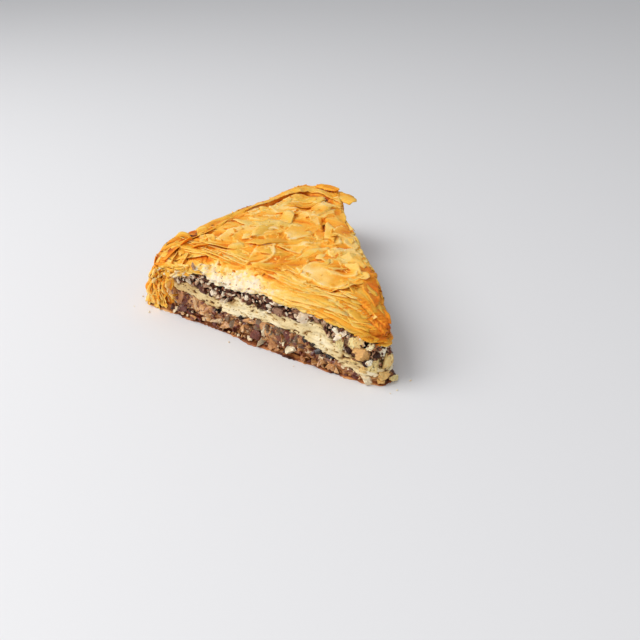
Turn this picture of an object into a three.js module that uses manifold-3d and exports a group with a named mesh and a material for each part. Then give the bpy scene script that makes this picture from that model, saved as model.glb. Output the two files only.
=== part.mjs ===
// A triangular piece of baklava: half of a square, cut corner to corner from a deep pan.
// From the base up it is a stack of syrup-soaked pastry sheets, a layer of chopped walnuts, a stack of
// pale sheets, a second layer of walnuts, and a thick crust of crisp flaky sheets. The front and the
// slanting side are knife cuts that show the layers. Along the left side, which lay against the pan,
// the crust's sheets fold down over the ends of the filling and reach the bottom sheets.
// Millimetres, +Z up. +X runs along the front cut, +Y to the back, and the origin is the middle of the base.

import * as THREE from "three";
import { mergeVertices } from "three/addons/utils/BufferGeometryUtils.js";
import Module from "manifold-3d";

const wasm = await Module();
wasm.setup();

// ---- driving dimensions ----------------------------------------------------------------------------

const FRONT = 144.2; // the front cut, from the pan corner to where the cuts would cross
const SIDE = 131.5; // the pan side, measured the same way
const SLANT = Math.hypot(FRONT, SIDE);
const ROUNDING = { pan: 6, tip: 8.5, back: 12 }; // corner radii in plan
const CRUST_TOP = 29.3; // height of the crust away from its edges
const CRUST_EDGE = 1.9; // how thick the crust is where the front cut ends
const SLOPE = { front: 17, pan: 12, slant: 7 }; // depth over which the crust comes down at each side
const PAN_DROP = { front: 3.2, back: 4.4 }; // how far it comes down at the pan side
const SLANT_DROP = 1.2; // and at the slanting cut
const FOLD = { start: 0.6, end: 3.4, inside: 8.5, width: 4.4 }; // the raised fold: heights, place and width
const GAP = 0.3; // air left between two layers
const WRAP = 14.5; // width of the folded sheets along the pan side
const STEP = { x: 8, y: 16 }; // spacing of the grid that shapes the faces between layers
const CRUST_STEP = 5.3; // and of the one that shapes the top
const SLIVER = 0.06; // how far a face may move when slivers are cleared
const OVERRUN = 9; // how far a wall runs past its layer before it is trimmed
const APRON = 9; // how far those grids reach past the piece
const ORIGIN = new THREE.Vector2(FRONT / 3, SIDE / 3);

// Heights of the faces between layers along the front cut, as x and z: the stacks sag and thin to the tip.
const NUTS_1_TOP = [
  [15, 12.6], [26, 12.6], [42, 9.6], [56, 9.6], [70, 11.8], [92, 11.4], [106, 7], [118, 4.2], [134, 2.8],
];
const SHEETS_TOP = [
  [15, 15.4], [28, 17.4], [50, 14.6], [58, 18.6], [64, 17.4], [90, 17.6], [98, 20], [102, 20.6],
  [107, 15], [120, 9.6], [134, 5.4],
];
const NUTS_2_TOP = [
  [15, 17.8], [22, 21], [32, 24.8], [47, 21.4], [56, 21.4], [72, 23.8], [100, 23.2], [109, 22.6],
  [120, 20], [136, 15.4],
];
const MEAN_HEIGHT = { nuts1: 11.4, sheets: 17.3, nuts2: 23.4 }; // the same faces further in
const FRONT_REACH = 46; // depth over which the front cut's heights fade into those
const BOTTOM_STACK = 2.5; // thickness of the soaked sheets
const TIP_LENGTH = 34; // stretch over which the crust comes down to the tip
const TIP_DROP = 7; // how far the crust comes down to the tip
const OVERHANG = 5; // how far the crust hangs out past the slanting cut, next to the back corner
const DRAWN_IN = { tip: 2.2, panCorner: 4.5 }; // how far its top draws in at those corners
const PIECE_SIZE = 6.2; // length of a large walnut piece
const SHEET = { flake: 0.7, edge: 0.8, fringe: 0.5 }; // thickness of the torn sheets, a few together

// The largest walnut pieces, which stand at the tip: x, y, z and length.
const TIP_PIECES = [
  [126.5, 3.6, 8.5, 9.5],
  [126.5, 8.2, 13.2, 7],
  [121, 3, 12.5, 9],
];

// ---- numbers that repeat: seeded random draws, steps and ripples ------------------------------------

function randomFrom(seed) {
  let state = seed >>> 0;
  return (low = 0, high = 1) => {
    state = (Math.imul(state, 1664525) + 1013904223) >>> 0;
    return low + ((high - low) * state) / 4294967296;
  };
}

const { clamp, lerp } = THREE.MathUtils;
const smooth = (t) => THREE.MathUtils.smoothstep(t, 0, 1);
const edgeFall = (distance, width) => (1 - clamp(distance / width, 0, 1)) ** 2;

// A wavy surface between -1 and 1, with waves about `wave` long.
function ripple(x, y, wave, seed) {
  const k = (2 * Math.PI) / wave;
  const a = Math.sin(k * x + 1.7 * Math.sin(0.63 * k * y + seed));
  const b = Math.sin(1.13 * k * y + 1.3 * Math.sin(0.71 * k * x + 2.1 * seed));
  return (a + b) / 2;
}

// Height at x on a line through the knots, with a smooth step from each to the next.
function alongKnots(knots, x) {
  const next = knots.findIndex(([knotX]) => knotX > x);
  if (next === 0) return knots[0][1];
  if (next < 0) return knots[knots.length - 1][1];
  const [[x0, z0], [x1, z1]] = [knots[next - 1], knots[next]];
  return lerp(z0, z1, smooth((x - x0) / (x1 - x0)));
}

// ---- the faces of the layers, as heights over the plan -----------------------------------------------

const fromSlant = (x, y) => (FRONT * SIDE - SIDE * x - FRONT * y) / SLANT;

// Distance inside the pan side, measured from the arc round the back corner.
function fromPan(x, y) {
  const radius = ROUNDING.back;
  const arcStart = SIDE - radius / Math.tan(Math.atan2(FRONT, SIDE) / 2);
  return Math.max(x, radius) - Math.hypot(Math.min(x - radius, 0), Math.max(y - arcStart, 0));
}

const towardsTip = (x) => smooth((x - (FRONT - 10 - TIP_LENGTH)) / TIP_LENGTH);

function layerFace(knots, mean, seed) {
  return (x, y) => {
    const inside = smooth(y / FRONT_REACH) * (1 - towardsTip(x));
    return lerp(alongKnots(knots, x), mean + 1.3 * ripple(x, y, 47, seed), inside);
  };
}

const bottomTop = (x, y) => BOTTOM_STACK - 0.9 * towardsTip(x) + 0.35 * ripple(x, y, 31, 2.2);
const nuts1Top = layerFace(NUTS_1_TOP, MEAN_HEIGHT.nuts1, 0.4);
const sheetsTop = layerFace(SHEETS_TOP, MEAN_HEIGHT.sheets, 1.3);
const nuts2Top = layerFace(NUTS_2_TOP, MEAN_HEIGHT.nuts2, 2.9);

// The crust is a low dome: it comes down to the filling at the front cut, bends down over the pan side,
// drops to the tip, and has a raised fold of sheets round the back of the pan side.
function crustTop(x, y) {
  const atFront = nuts2Top(x, 0) + CRUST_EDGE;
  const dome = lerp(CRUST_TOP + 0.6 * ripple(x, y, 33, 0.9), atFront, edgeFall(y, SLOPE.front));
  const panDrop = lerp(PAN_DROP.front, PAN_DROP.back, smooth((y - 45) / 30));
  const panSide = panDrop * edgeFall(fromPan(x, y), SLOPE.pan);
  const slantSide = SLANT_DROP * edgeFall(fromSlant(x, y), SLOPE.slant);
  const tip = TIP_DROP * towardsTip(x) * smooth(y / 12);
  return dome - panSide - slantSide - tip + foldRise(x, y);
}

// The raised fold follows the back half of the pan side, turns round the back corner and grows on the way.
function foldRise(x, y) {
  const start = smooth((y - 0.5 * SIDE) / 12);
  const fromEdge = Math.min(fromPan(x, y), 0.75 * fromSlant(x, y) + 0.25 * (SIDE - y) + 8);
  const growth = lerp(FOLD.start, FOLD.end, smooth((y - 0.73 * SIDE) / 22));
  return start * growth * Math.exp(-(((fromEdge - FOLD.inside) / FOLD.width) ** 2));
}

// ---- outline in plan ----------------------------------------------------------------------------------

// The triangle with each side moved in by its own amount and its corners rounded, counter-clockwise from
// the pan corner. Every call returns the same number of points, so that outlines can be joined into walls.
function outline(inset, spacing = 3.4) {
  const corner = {
    pan: new THREE.Vector2(inset.pan, inset.front),
    tip: new THREE.Vector2((FRONT * SIDE - inset.slant * SLANT - FRONT * inset.front) / SIDE, inset.front),
    back: new THREE.Vector2(inset.pan, (FRONT * SIDE - inset.slant * SLANT - SIDE * inset.pan) / FRONT),
  };
  const order = [["pan", "back", "tip", FRONT], ["tip", "pan", "back", SLANT], ["back", "tip", "pan", SIDE]];
  const arcs = order.map(([name, before, after]) =>
    cornerArc(corner[name], corner[before], corner[after], ROUNDING[name]),
  );
  const points = [];
  order.forEach(([, , , length], i) => {
    points.push(...arcs[i]);
    const [from, to] = [arcs[i].at(-1), arcs[(i + 1) % 3][0]];
    const pieces = Math.round(length / spacing);
    for (let k = 1; k < pieces; k++) points.push(from.clone().lerp(to, k / pieces));
  });
  return points;
}

function cornerArc(at, before, after, radius, steps = 4) {
  const back = before.clone().sub(at).normalize();
  const ahead = after.clone().sub(at).normalize();
  const half = Math.acos(clamp(back.dot(ahead), -1, 1)) / 2;
  const centre = at.clone().addScaledVector(back.clone().add(ahead).normalize(), radius / Math.sin(half));
  const start = at.clone().addScaledVector(back, radius / Math.tan(half)).sub(centre);
  const turn = Math.PI - 2 * half;
  return Array.from({ length: steps + 1 }, (_, k) =>
    start.clone().rotateAround(new THREE.Vector2(), (turn * k) / steps).add(centre),
  );
}

// ---- solids -------------------------------------------------------------------------------------------

function toSolid(geometry) {
  const bare = new THREE.BufferGeometry().setAttribute("position", geometry.getAttribute("position"));
  bare.setIndex(geometry.index);
  const merged = mergeVertices(bare, 1e-4);
  return new wasm.Manifold(
    new wasm.Mesh({
      numProp: 3,
      vertProperties: merged.attributes.position.array,
      triVerts: new Uint32Array(merged.index.array),
    }),
  );
}

function toGeometry(solid) {
  const { numProp, numVert, vertProperties, triVerts } = solid.getMesh();
  const positions = new Float32Array(numVert * 3);
  for (let i = 0; i < numVert; i++) {
    positions.set(vertProperties.subarray(i * numProp, i * numProp + 3), i * 3);
  }
  const geometry = new THREE.BufferGeometry();
  geometry.setAttribute("position", new THREE.BufferAttribute(positions, 3));
  geometry.setIndex(new THREE.BufferAttribute(new Uint32Array(triVerts), 1));
  geometry.computeVertexNormals();
  return geometry;
}

// The space between two height functions, over a rectangle that reaches past the piece.
function slab(low, high, stepX = STEP.x, stepY = STEP.y) {
  const nx = Math.round((FRONT + 2 * APRON) / stepX);
  const ny = Math.round((SIDE + 2 * APRON) / stepY);
  const positions = [];
  for (const height of [low, high])
    for (let j = 0; j <= ny; j++)
      for (let i = 0; i <= nx; i++) {
        const x = lerp(-APRON, FRONT + APRON, i / nx);
        const y = lerp(-APRON, SIDE + APRON, j / ny);
        positions.push(x, y, height(x, y));
      }
  const layer = (nx + 1) * (ny + 1);
  const at = (i, j, up) => up * layer + j * (nx + 1) + i;
  const faces = [];
  const quad = (a, b, c, d) => faces.push(a, b, c, a, c, d);
  for (let j = 0; j < ny; j++)
    for (let i = 0; i < nx; i++) {
      quad(at(i, j, 1), at(i + 1, j, 1), at(i + 1, j + 1, 1), at(i, j + 1, 1));
      faces.push(at(i, j, 0), at(i + 1, j + 1, 0), at(i + 1, j, 0));
      faces.push(at(i, j, 0), at(i, j + 1, 0), at(i + 1, j + 1, 0));
    }
  for (let i = 0; i < nx; i++) {
    quad(at(i, 0, 0), at(i + 1, 0, 0), at(i + 1, 0, 1), at(i, 0, 1));
    quad(at(i + 1, ny, 0), at(i, ny, 0), at(i, ny, 1), at(i + 1, ny, 1));
  }
  for (let j = 0; j < ny; j++) {
    quad(at(0, j + 1, 0), at(0, j, 0), at(0, j, 1), at(0, j + 1, 1));
    quad(at(nx, j, 0), at(nx, j + 1, 0), at(nx, j + 1, 1), at(nx, j, 1));
  }
  const geometry = new THREE.BufferGeometry();
  geometry.setAttribute("position", new THREE.Float32BufferAttribute(positions, 3));
  geometry.setIndex(faces);
  return toSolid(geometry);
}

// An upright wall round the piece, closed by a fan at each end. Each ring is an outline with a height at
// each of its points, from the lowest ring up.
function prism(rings) {
  const count = rings[0].length;
  const positions = rings.flat().flatMap((p) => [p.x, p.y, p.z]);
  const faces = [];
  for (let r = 0; r + 1 < rings.length; r++)
    for (let i = 0; i < count; i++) {
      const [a, b] = [r * count + i, r * count + ((i + 1) % count)];
      faces.push(a, b, b + count, a, b + count, a + count);
    }
  for (const [ring, up] of [[0, false], [rings.length - 1, true]]) {
    const middle = new THREE.Vector3();
    rings[ring].forEach((p) => middle.addScaledVector(p, 1 / count));
    const heights = rings[ring].map((p) => p.z);
    const hub = positions.length / 3;
    positions.push(middle.x, middle.y, up ? Math.max(...heights) : Math.min(...heights));
    for (let i = 0; i < count; i++) {
      const [a, b] = [ring * count + i, ring * count + ((i + 1) % count)];
      faces.push(...(up ? [hub, a, b] : [hub, b, a]));
    }
  }
  const geometry = new THREE.BufferGeometry();
  geometry.setAttribute("position", new THREE.Float32BufferAttribute(positions, 3));
  geometry.setIndex(faces);
  return toSolid(geometry);
}

// The cut edges of a stack of sheets: rings that follow the stack, each standing out or in a little, so
// that bundles of sheets show as ledges. `inset(t)` gives the three insets at a share t of the height, and
// `flare` what stands out further.
function ledgedWall({ low, high, levels, inset, flare = () => 0, ledge, seed, spacing }) {
  const rings = [];
  for (let i = 0; i <= levels; i++) {
    const t = i / levels;
    const points = outline(inset(t), spacing);
    rings.push(
      points.map((p, k) => {
        const [before, after] = [points.at(k - 1), points[(k + 1) % points.length]];
        const outward = new THREE.Vector2(after.y - before.y, before.x - after.x).normalize();
        const step = (i % 2 ? 0.6 : -0.4) + 0.7 * ripple(p.x, p.y, 17 + 5 * (i % 3), seed + 3.7 * i);
        const out = ledge * step + flare(p, t);
        const at = p.clone().addScaledVector(outward, out);
        return new THREE.Vector3(at.x, at.y, lerp(low(p.x, p.y), high(p.x, p.y), t));
      }),
    );
  }
  rings[0].forEach((p) => (p.z -= OVERRUN));
  rings[levels].forEach((p) => (p.z += OVERRUN));
  return prism(rings);
}

// A walnut piece: an uneven lump with flat broken faces.
function nutPiece(random, size, at) {
  const geometry = new THREE.BoxGeometry(2, 2, 2);
  const corners = Array.from({ length: 8 }, () => [random(0.5, 1), random(0.5, 1), random(0.5, 1)]);
  const position = geometry.getAttribute("position");
  for (let i = 0; i < position.count; i++) {
    const [x, y, z] = [position.getX(i), position.getY(i), position.getZ(i)];
    const [reachX, reachY, reachZ] = corners[(x > 0) + 2 * (y > 0) + 4 * (z > 0)];
    position.setXYZ(i, x * reachX, y * reachY, z * reachZ);
  }
  geometry.scale(size * random(0.45, 0.6), size * random(0.4, 0.55), size * random(0.35, 0.5));
  geometry.applyQuaternion(randomTurn(random));
  geometry.translate(at.x, at.y, at.z);
  return toSolid(geometry);
}

const randomTurn = (random) =>
  new THREE.Quaternion().setFromEuler(new THREE.Euler(random(0, 6.28), random(0, 6.28), random(0, 6.28)));

// A flake of pastry: a thin cupped plate with an uneven edge, turned so that its face points along
// `normal`.
function flake(random, { size, thickness, cup, at, normal }) {
  const geometry = new THREE.CylinderGeometry(size / 2, size / 2, thickness, 5, 1);
  geometry.rotateX(Math.PI / 2);
  const stretch = random(0.55, 0.85);
  const reach = Array.from({ length: 5 }, () => random(0.75, 1.2));
  const position = geometry.getAttribute("position");
  for (let i = 0; i < position.count; i++) {
    const [x, y, z] = [position.getX(i), position.getY(i), position.getZ(i)];
    const corner = Math.floor((Math.atan2(y, x) / Math.PI + 1.5) * 2.5) % 5;
    const far = Math.hypot(x, y) > 0.1 * size;
    const scale = far ? reach[corner] : 1;
    position.setXYZ(i, x * scale, y * scale * stretch, z + (far ? cup : 0));
  }
  geometry.rotateZ(random(0, 6.28));
  const up = new THREE.Vector3(0, 0, 1);
  geometry.applyQuaternion(new THREE.Quaternion().setFromUnitVectors(up, normal.clone().normalize()));
  geometry.translate(at.x, at.y, at.z);
  return toSolid(geometry);
}

// Joins a core and what is fused to it, and drops loose scraps and sealed hollows.
function largestBody(solid) {
  const bodies = solid.simplify(SLIVER).decompose();
  return bodies.reduce((a, b) => (b.volume() > a.volume() ? b : a));
}

// Points along the two knife cuts, from the pan corner round to the back, with the way out at each.
function cutSides(inset, spacing) {
  const wayOut = { front: new THREE.Vector2(0, -1), slant: new THREE.Vector2(SIDE, FRONT).normalize() };
  const cuts = [
    [new THREE.Vector2(WRAP + 7, inset), new THREE.Vector2(FRONT - 18, inset), wayOut.front],
    [new THREE.Vector2(FRONT - 19, 12), new THREE.Vector2(WRAP + 9, SIDE - 27), wayOut.slant],
  ];
  return cuts.flatMap(([from, to, outward], side) => {
    const start = side ? from.clone().addScaledVector(outward, fromSlant(from.x, from.y) - inset) : from;
    const end = side ? to.clone().addScaledVector(outward, fromSlant(to.x, to.y) - inset) : to;
    const pieces = Math.round(start.distanceTo(end) / (side ? 1.25 * spacing : spacing));
    return Array.from({ length: pieces + 1 }, (_, k) => ({ at: start.clone().lerp(end, k / pieces), outward }));
  });
}

// ---- the layers ---------------------------------------------------------------------------------------

const halfGapUnder = (height) => (x, y) => height(x, y) - GAP / 2;
const halfGapOver = (height) => (x, y) => height(x, y) + GAP / 2;

// Soaked sheets under everything, with torn ends that lie out on the plate.
function bottomSheets() {
  const random = randomFrom(11);
  const high = halfGapUnder(bottomTop);
  const wall = ledgedWall({
    low: () => 0, high, levels: 2, ledge: 0.5, seed: 5, spacing: 8,
    inset: (t) => ({ front: -0.6, slant: -0.4, pan: lerp(-2.4, -1.4, t) }),
  });
  const fringe = outline({ front: 0.6, slant: 1, pan: -0.8 }, 24).map((p) =>
    flake(random, {
      size: random(5, 8), thickness: SHEET.fringe, cup: random(-0.1, 0.2),
      at: new THREE.Vector3(p.x, p.y, random(0.5, 1.3)),
      normal: new THREE.Vector3(random(-0.1, 0.1), random(-0.1, 0.1), 1),
    }),
  );
  return largestBody(wasm.Manifold.union([wall, ...fringe]).intersect(slab(() => 0, high)));
}

// A layer of chopped walnuts: a core with the pieces that show at the two cuts fused on.
function nutLayer({ low, high, panInset, seed, rows, size, single = [] }) {
  const random = randomFrom(seed);
  const wall = ledgedWall({
    low, high, levels: 1, ledge: 0.7, seed, spacing: 13,
    inset: () => ({ front: 1.5, slant: 1.5, pan: panInset }),
  });
  const pieces = [];
  for (const { at, outward } of cutSides(1.8, 1.04 * size)) {
    const [floor, ceiling] = [low(at.x, at.y), high(at.x, at.y)];
    const fit = clamp(Math.round((ceiling - floor) / (size * 0.8)), 1, rows);
    for (let row = 0; row < fit; row++) {
      const spot = at.clone().addScaledVector(outward, random(-0.6, 0.9));
      const z = lerp(floor, ceiling, (row + random(0.35, 0.65)) / fit);
      pieces.push(nutPiece(random, size * random(0.75, 1.2), new THREE.Vector3(spot.x, spot.y, z)));
    }
  }
  for (const [x, y, z, length] of single) pieces.push(nutPiece(random, length, new THREE.Vector3(x, y, z)));
  return largestBody(wasm.Manifold.union([wall, ...pieces]).intersect(slab(low, high)));
}

const lowerNuts = () =>
  nutLayer({
    low: halfGapOver(bottomTop), high: halfGapUnder(nuts1Top), panInset: WRAP + 2.2,
    seed: 23, rows: 2, size: PIECE_SIZE,
  });

const upperNuts = () =>
  nutLayer({
    low: halfGapOver(sheetsTop), high: halfGapUnder(nuts2Top), panInset: WRAP + 6,
    seed: 37, rows: 2, size: PIECE_SIZE, single: TIP_PIECES,
  });

// Pale sheets between the two layers of walnuts.
function middleSheets() {
  const [low, high] = [halfGapOver(nuts1Top), halfGapUnder(sheetsTop)];
  const wall = ledgedWall({
    low, high, levels: 3, ledge: 0.45, seed: 8, spacing: 8,
    inset: () => ({ front: 0.6, slant: 0.6, pan: WRAP + 4 }),
  });
  return largestBody(wall.intersect(slab(low, high)));
}

// The crust hangs out past the slanting cut next to the back corner, and draws in at the tip and over the
// pan corner. `t` is the share of its height.
function crustFlare(p, t) {
  const alongSlant = Math.exp(-(((p.x - 27) / 16) ** 2) - (fromSlant(p.x, p.y) / 6) ** 2);
  const overPanCorner = Math.exp(-(p.x ** 2 + p.y ** 2) / 90);
  const drawnIn = DRAWN_IN.tip * towardsTip(p.x) + DRAWN_IN.panCorner * overPanCorner;
  return OVERHANG * smooth((t - 0.7) / 0.15) * alongSlant - drawnIn * t;
}

// The crisp crust with the fold down the pan side, less the block of filling it closes over.
function crust() {
  const random = randomFrom(53);
  const wall = ledgedWall({
    low: bottomTop, high: crustTop, levels: 8, ledge: 0.75, seed: 14, spacing: 6,
    inset: (t) => ({
      front: 2.2 * smooth((t - 0.86) / 0.14),
      slant: -0.6 + 1.4 * smooth((t - 0.85) / 0.15),
      pan: -1.6 + 4.6 * t,
    }),
    flare: crustFlare,
  });
  const [past, levels] = [1 - APRON, [-4, BOTTOM_STACK, MEAN_HEIGHT.nuts1, MEAN_HEIGHT.nuts2, CRUST_TOP + 9]];
  const filling = prism(
    levels.map((z) => {
      const points = outline({ front: past, slant: past, pan: WRAP + 0.12 * z }, 12);
      return points.map((p) => new THREE.Vector3(p.x, p.y, z));
    }),
  ).intersect(slab(() => -5, halfGapOver(nuts2Top)));
  const relief = (x, y) => crustTop(x, y) + 0.55 * ripple(x, y, 9.5, 4.4) + 0.35 * ripple(x, y, 6.1, 1.7);
  const body = wall
    .intersect(slab(() => -OVERRUN, relief, CRUST_STEP, CRUST_STEP))
    .intersect(slab(halfGapOver(bottomTop), () => CRUST_TOP + OVERRUN))
    .subtract(filling);
  const flakes = [...topFlakes(random), ...edgeFlakes(random), ...foldedEnds(random)];
  return largestBody(wasm.Manifold.union([body, ...flakes]));
}

// Loose shards on the crust, each sunk at one side and lifted at the other.
function topFlakes(random) {
  const pitch = 14;
  const flakes = [];
  for (let y = 9; y < SIDE - 32; y += pitch)
    for (let x = 10; fromSlant(x, y) > 7 && x < FRONT - 26; x += pitch) {
      const [px, py] = [x + random(-3, 3), y + random(-3, 3)];
      flakes.push(
        flake(random, {
          size: random(7, 11), thickness: SHEET.flake, cup: random(0.3, 0.9),
          at: new THREE.Vector3(px, py, crustTop(px, py) + 0.2),
          normal: new THREE.Vector3(random(-0.2, 0.2), random(-0.25, 0.1), 1),
        }),
      );
    }
  return flakes;
}

// Torn sheets that stand out past the slanting cut at the top, and one long one at the back.
function edgeFlakes(random) {
  const outward = new THREE.Vector3(SIDE, FRONT, 0).normalize();
  const spots = [0.1, 0.24, 0.37, 0.5, 0.62, 0.74].map((share) => ({
    x: lerp(FRONT - 16, 22, share), size: random(6, 9), out: random(-1.6, 0.4),
  }));
  spots.push({ x: 37, size: 9, out: 1.6 });
  return spots.map(({ x, size, out }) => {
    const y = (SIDE * (FRONT - x)) / FRONT;
    const at = new THREE.Vector3(x, y, 0).addScaledVector(outward, out);
    at.z = crustTop(x - 3, y - 3) - 0.6;
    const normal = new THREE.Vector3(0.12, 0.12, 1);
    return flake(random, { size, thickness: SHEET.edge, cup: 0.2, at, normal });
  });
}

// The ends of the crust's sheets where they fold down the pan side: crumpled plates that lie on the wall.
function foldedEnds(random) {
  const flakes = [];
  for (let y = 6; y < SIDE - 22; y += 13)
    for (const share of [0.3, 0.62]) {
      const z = lerp(5, crustTop(2, y), share);
      const at = new THREE.Vector3(-1.5 + 4.6 * share * 0.8, y + random(-2.5, 2.5), z + random(-1.5, 1.5));
      flakes.push(
        flake(random, {
          size: random(6.5, 9), thickness: SHEET.edge, cup: random(0.2, 0.6), at,
          normal: new THREE.Vector3(-1, random(-0.35, 0.35), random(0.1, 0.6)),
        }),
      );
    }
  return flakes;
}

// ---- the piece ----------------------------------------------------------------------------------------

const PASTRY_GOLD = { color: 0xd9973a, roughness: 0.55, metalness: 0 };
const PASTRY_PALE = { color: 0xe6d7a8, roughness: 0.7, metalness: 0 };
const PASTRY_SOAKED = { color: 0x7a4420, roughness: 0.35, metalness: 0 };
const WALNUT_DARK = { color: 0x6b4a38, roughness: 0.6, metalness: 0 };
const WALNUT_AMBER = { color: 0x8a5c34, roughness: 0.5, metalness: 0 };

const piece = new THREE.Group();
for (const [name, solid, look] of [
  ["bottom_sheets", bottomSheets(), PASTRY_SOAKED],
  ["lower_walnuts", lowerNuts(), WALNUT_AMBER],
  ["middle_sheets", middleSheets(), PASTRY_PALE],
  ["upper_walnuts", upperNuts(), WALNUT_DARK],
  ["top_crust", crust(), PASTRY_GOLD],
]) {
  const mesh = new THREE.Mesh(toGeometry(solid), new THREE.MeshStandardMaterial(look));
  mesh.name = name;
  piece.add(mesh);
}
piece.position.set(-ORIGIN.x, -ORIGIN.y, 0);

const baklava = new THREE.Group();
baklava.add(piece);

export default baklava;
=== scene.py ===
"""A triangular piece of baklava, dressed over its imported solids.

From the plate up: syrup-soaked sheets, chopped walnuts, pale sheets, more walnuts and a crisp crust whose
sheets fold down over the pan side. Shapes are worked out in millimetres with the pan corner at x = 0,
y = 0, as a baker would measure them, and make_piece moves them into the frame, in metres.
"""
import math

import bpy
import numpy as np
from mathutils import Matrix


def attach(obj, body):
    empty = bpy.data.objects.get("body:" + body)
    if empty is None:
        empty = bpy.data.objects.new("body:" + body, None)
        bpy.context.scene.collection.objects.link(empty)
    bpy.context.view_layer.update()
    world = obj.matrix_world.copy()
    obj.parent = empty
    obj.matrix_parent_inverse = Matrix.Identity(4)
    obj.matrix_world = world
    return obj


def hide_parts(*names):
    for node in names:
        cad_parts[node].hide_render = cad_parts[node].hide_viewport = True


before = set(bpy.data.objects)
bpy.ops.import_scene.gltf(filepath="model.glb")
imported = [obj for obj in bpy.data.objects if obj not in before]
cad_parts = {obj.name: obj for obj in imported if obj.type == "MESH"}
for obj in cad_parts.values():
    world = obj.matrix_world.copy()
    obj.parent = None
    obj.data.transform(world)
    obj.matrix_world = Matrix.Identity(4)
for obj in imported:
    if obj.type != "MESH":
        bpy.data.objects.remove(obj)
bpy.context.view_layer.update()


# ---- The board, the light and the camera ------------------------------------------------------------
# The piece stands on a plain pale board. A large soft lamp stands high on the left, a weaker one on the
# right, and the room's white walls fill the shadows.

MM = 0.001
BOARD_SIZE = 4.0
BOARD_COLOUR = (226, 227, 231)
LAMPS = (  # place, size, power and colour
    ("key_light", (-0.5, -0.42, 0.75), 0.8, 8.0, (1.0, 0.985, 0.96)),
    ("fill_light", (0.35, -0.75, 0.35), 0.7, 2.1, (1.0, 0.97, 0.93)),
)
ROOM_LIGHT = 0.45
CAMERA_PLACE = (0.25113, -0.29431, 0.18534)
CAMERA_TURN = (62.868, 0.614, 37.795)
CAMERA_LENS = 51.0


def colour(red, green, blue):
    """A colour as it looks on a screen, 0 to 255, turned into the shader's own numbers."""
    shares = [value / 255 for value in (red, green, blue)]
    return (*[s / 12.92 if s < 0.04045 else ((s + 0.055) / 1.055) ** 2.4 for s in shares], 1.0)


def add_node(tree, kind, inputs=None, **settings):
    """A node with its settings and its inputs, each a value or the output that feeds it."""
    node = tree.nodes.new(kind)
    for name, value in settings.items():
        setattr(node, name, value)
    for socket, value in (inputs or {}).items():
        if isinstance(value, bpy.types.NodeSocket):
            tree.links.new(value, node.inputs[socket])
        else:
            node.inputs[socket].default_value = value
    return node


def new_look(name):
    """An empty material with its shader and the place of each point in millimetres."""
    material = bpy.data.materials.new(name)
    material.use_nodes = True
    tree = material.node_tree
    place = add_node(tree, "ShaderNodeTexCoord").outputs["Object"]
    in_mm = add_node(tree, "ShaderNodeVectorMath", {0: place, "Scale": 1000.0}, operation="SCALE")
    return material, tree, tree.nodes["Principled BSDF"], in_mm.outputs["Vector"]


def put(name, data):
    """A new object in the scene."""
    thing = bpy.data.objects.new(name, data)
    bpy.context.scene.collection.objects.link(thing)
    return thing


half = BOARD_SIZE / 2
mesh = bpy.data.meshes.new("board")
mesh.from_pydata([(-half, -half, 0), (half, -half, 0), (half, half, 0), (-half, half, 0)], [], [(0, 1, 2, 3)])
material, tree, shader, _ = new_look("pale_board")
shader.inputs["Base Color"].default_value = colour(*BOARD_COLOUR)
shader.inputs["Roughness"].default_value = 0.55
mesh.materials.append(material)
put("board", mesh)
for name, place, size, power, tint in LAMPS:
    lamp = bpy.data.lights.new(name, "AREA")
    lamp.size, lamp.energy, lamp.color = size, power, tint
    holder = put(name, lamp)
    holder.location = place
    holder.rotation_euler = (-holder.location).to_track_quat("-Z", "Y").to_euler()
lens = bpy.data.cameras.new("camera")
lens.lens, lens.sensor_width, lens.clip_start = CAMERA_LENS, 36.0, 0.01
camera = put("camera", lens)
camera.location = CAMERA_PLACE
camera.rotation_euler = [math.radians(turn) for turn in CAMERA_TURN]
scene = bpy.context.scene
scene.camera = camera
scene.world = bpy.data.worlds.new("room")
scene.world.use_nodes = True
room = scene.world.node_tree.nodes["Background"]
room.inputs["Color"].default_value = (1.0, 1.0, 1.0, 1.0)
room.inputs["Strength"].default_value = ROOM_LIGHT
scene.view_settings.view_transform = "Standard"


# ---- Soaked bottom sheets ---------------------------------------------------------------------------
# A stack of buttered sheets that has drunk the syrup: thin, red-brown, wet and ragged, with torn ends that
# lie out on the plate. Everything else was built up on it in the pan.

FRONT = 144.2  # the front cut, from the pan corner to where the two cuts would cross
SIDE = 131.5  # the pan side, measured the same way
SLANT = math.hypot(FRONT, SIDE)
ROUNDING = {"pan": 6.0, "tip": 8.5, "back": 12.0}
ORIGIN = np.array([FRONT / 3, SIDE / 3, 0.0])
BOTTOM_STACK = 2.5
TIP_LENGTH = 34.0
SPACING = 0.5  # distance between points round the piece
REACH_OUT = (
    (22, 0.9), (40, 0.3), (52, 0.2), (64, 2.1), (76, 1.6), (88, 1.2), (100, 0.3), (114, -0.1), (124, -0.8),
)  # how far the lowest sheets lie out past the front cut
SOAKED_COLOURS = (
    (0.0, (240, 192, 130)), (0.3, (212, 144, 84)), (0.6, (160, 92, 50)), (0.85, (88, 40, 22)),
    (1.0, (42, 17, 10)),
)


def ease(share):
    share = np.clip(share, 0.0, 1.0)
    return share * share * (3 - 2 * share)


def mixed(low, high, share):
    return low + (high - low) * share


def ripple(x, y, wave, seed):
    """A wavy surface between -1 and 1, with waves about `wave` long."""
    k = 2 * math.pi / wave
    a = np.sin(k * x + 1.7 * np.sin(0.63 * k * y + seed))
    b = np.sin(1.13 * k * y + 1.3 * np.sin(0.71 * k * x + 2.1 * seed))
    return (a + b) / 2


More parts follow.
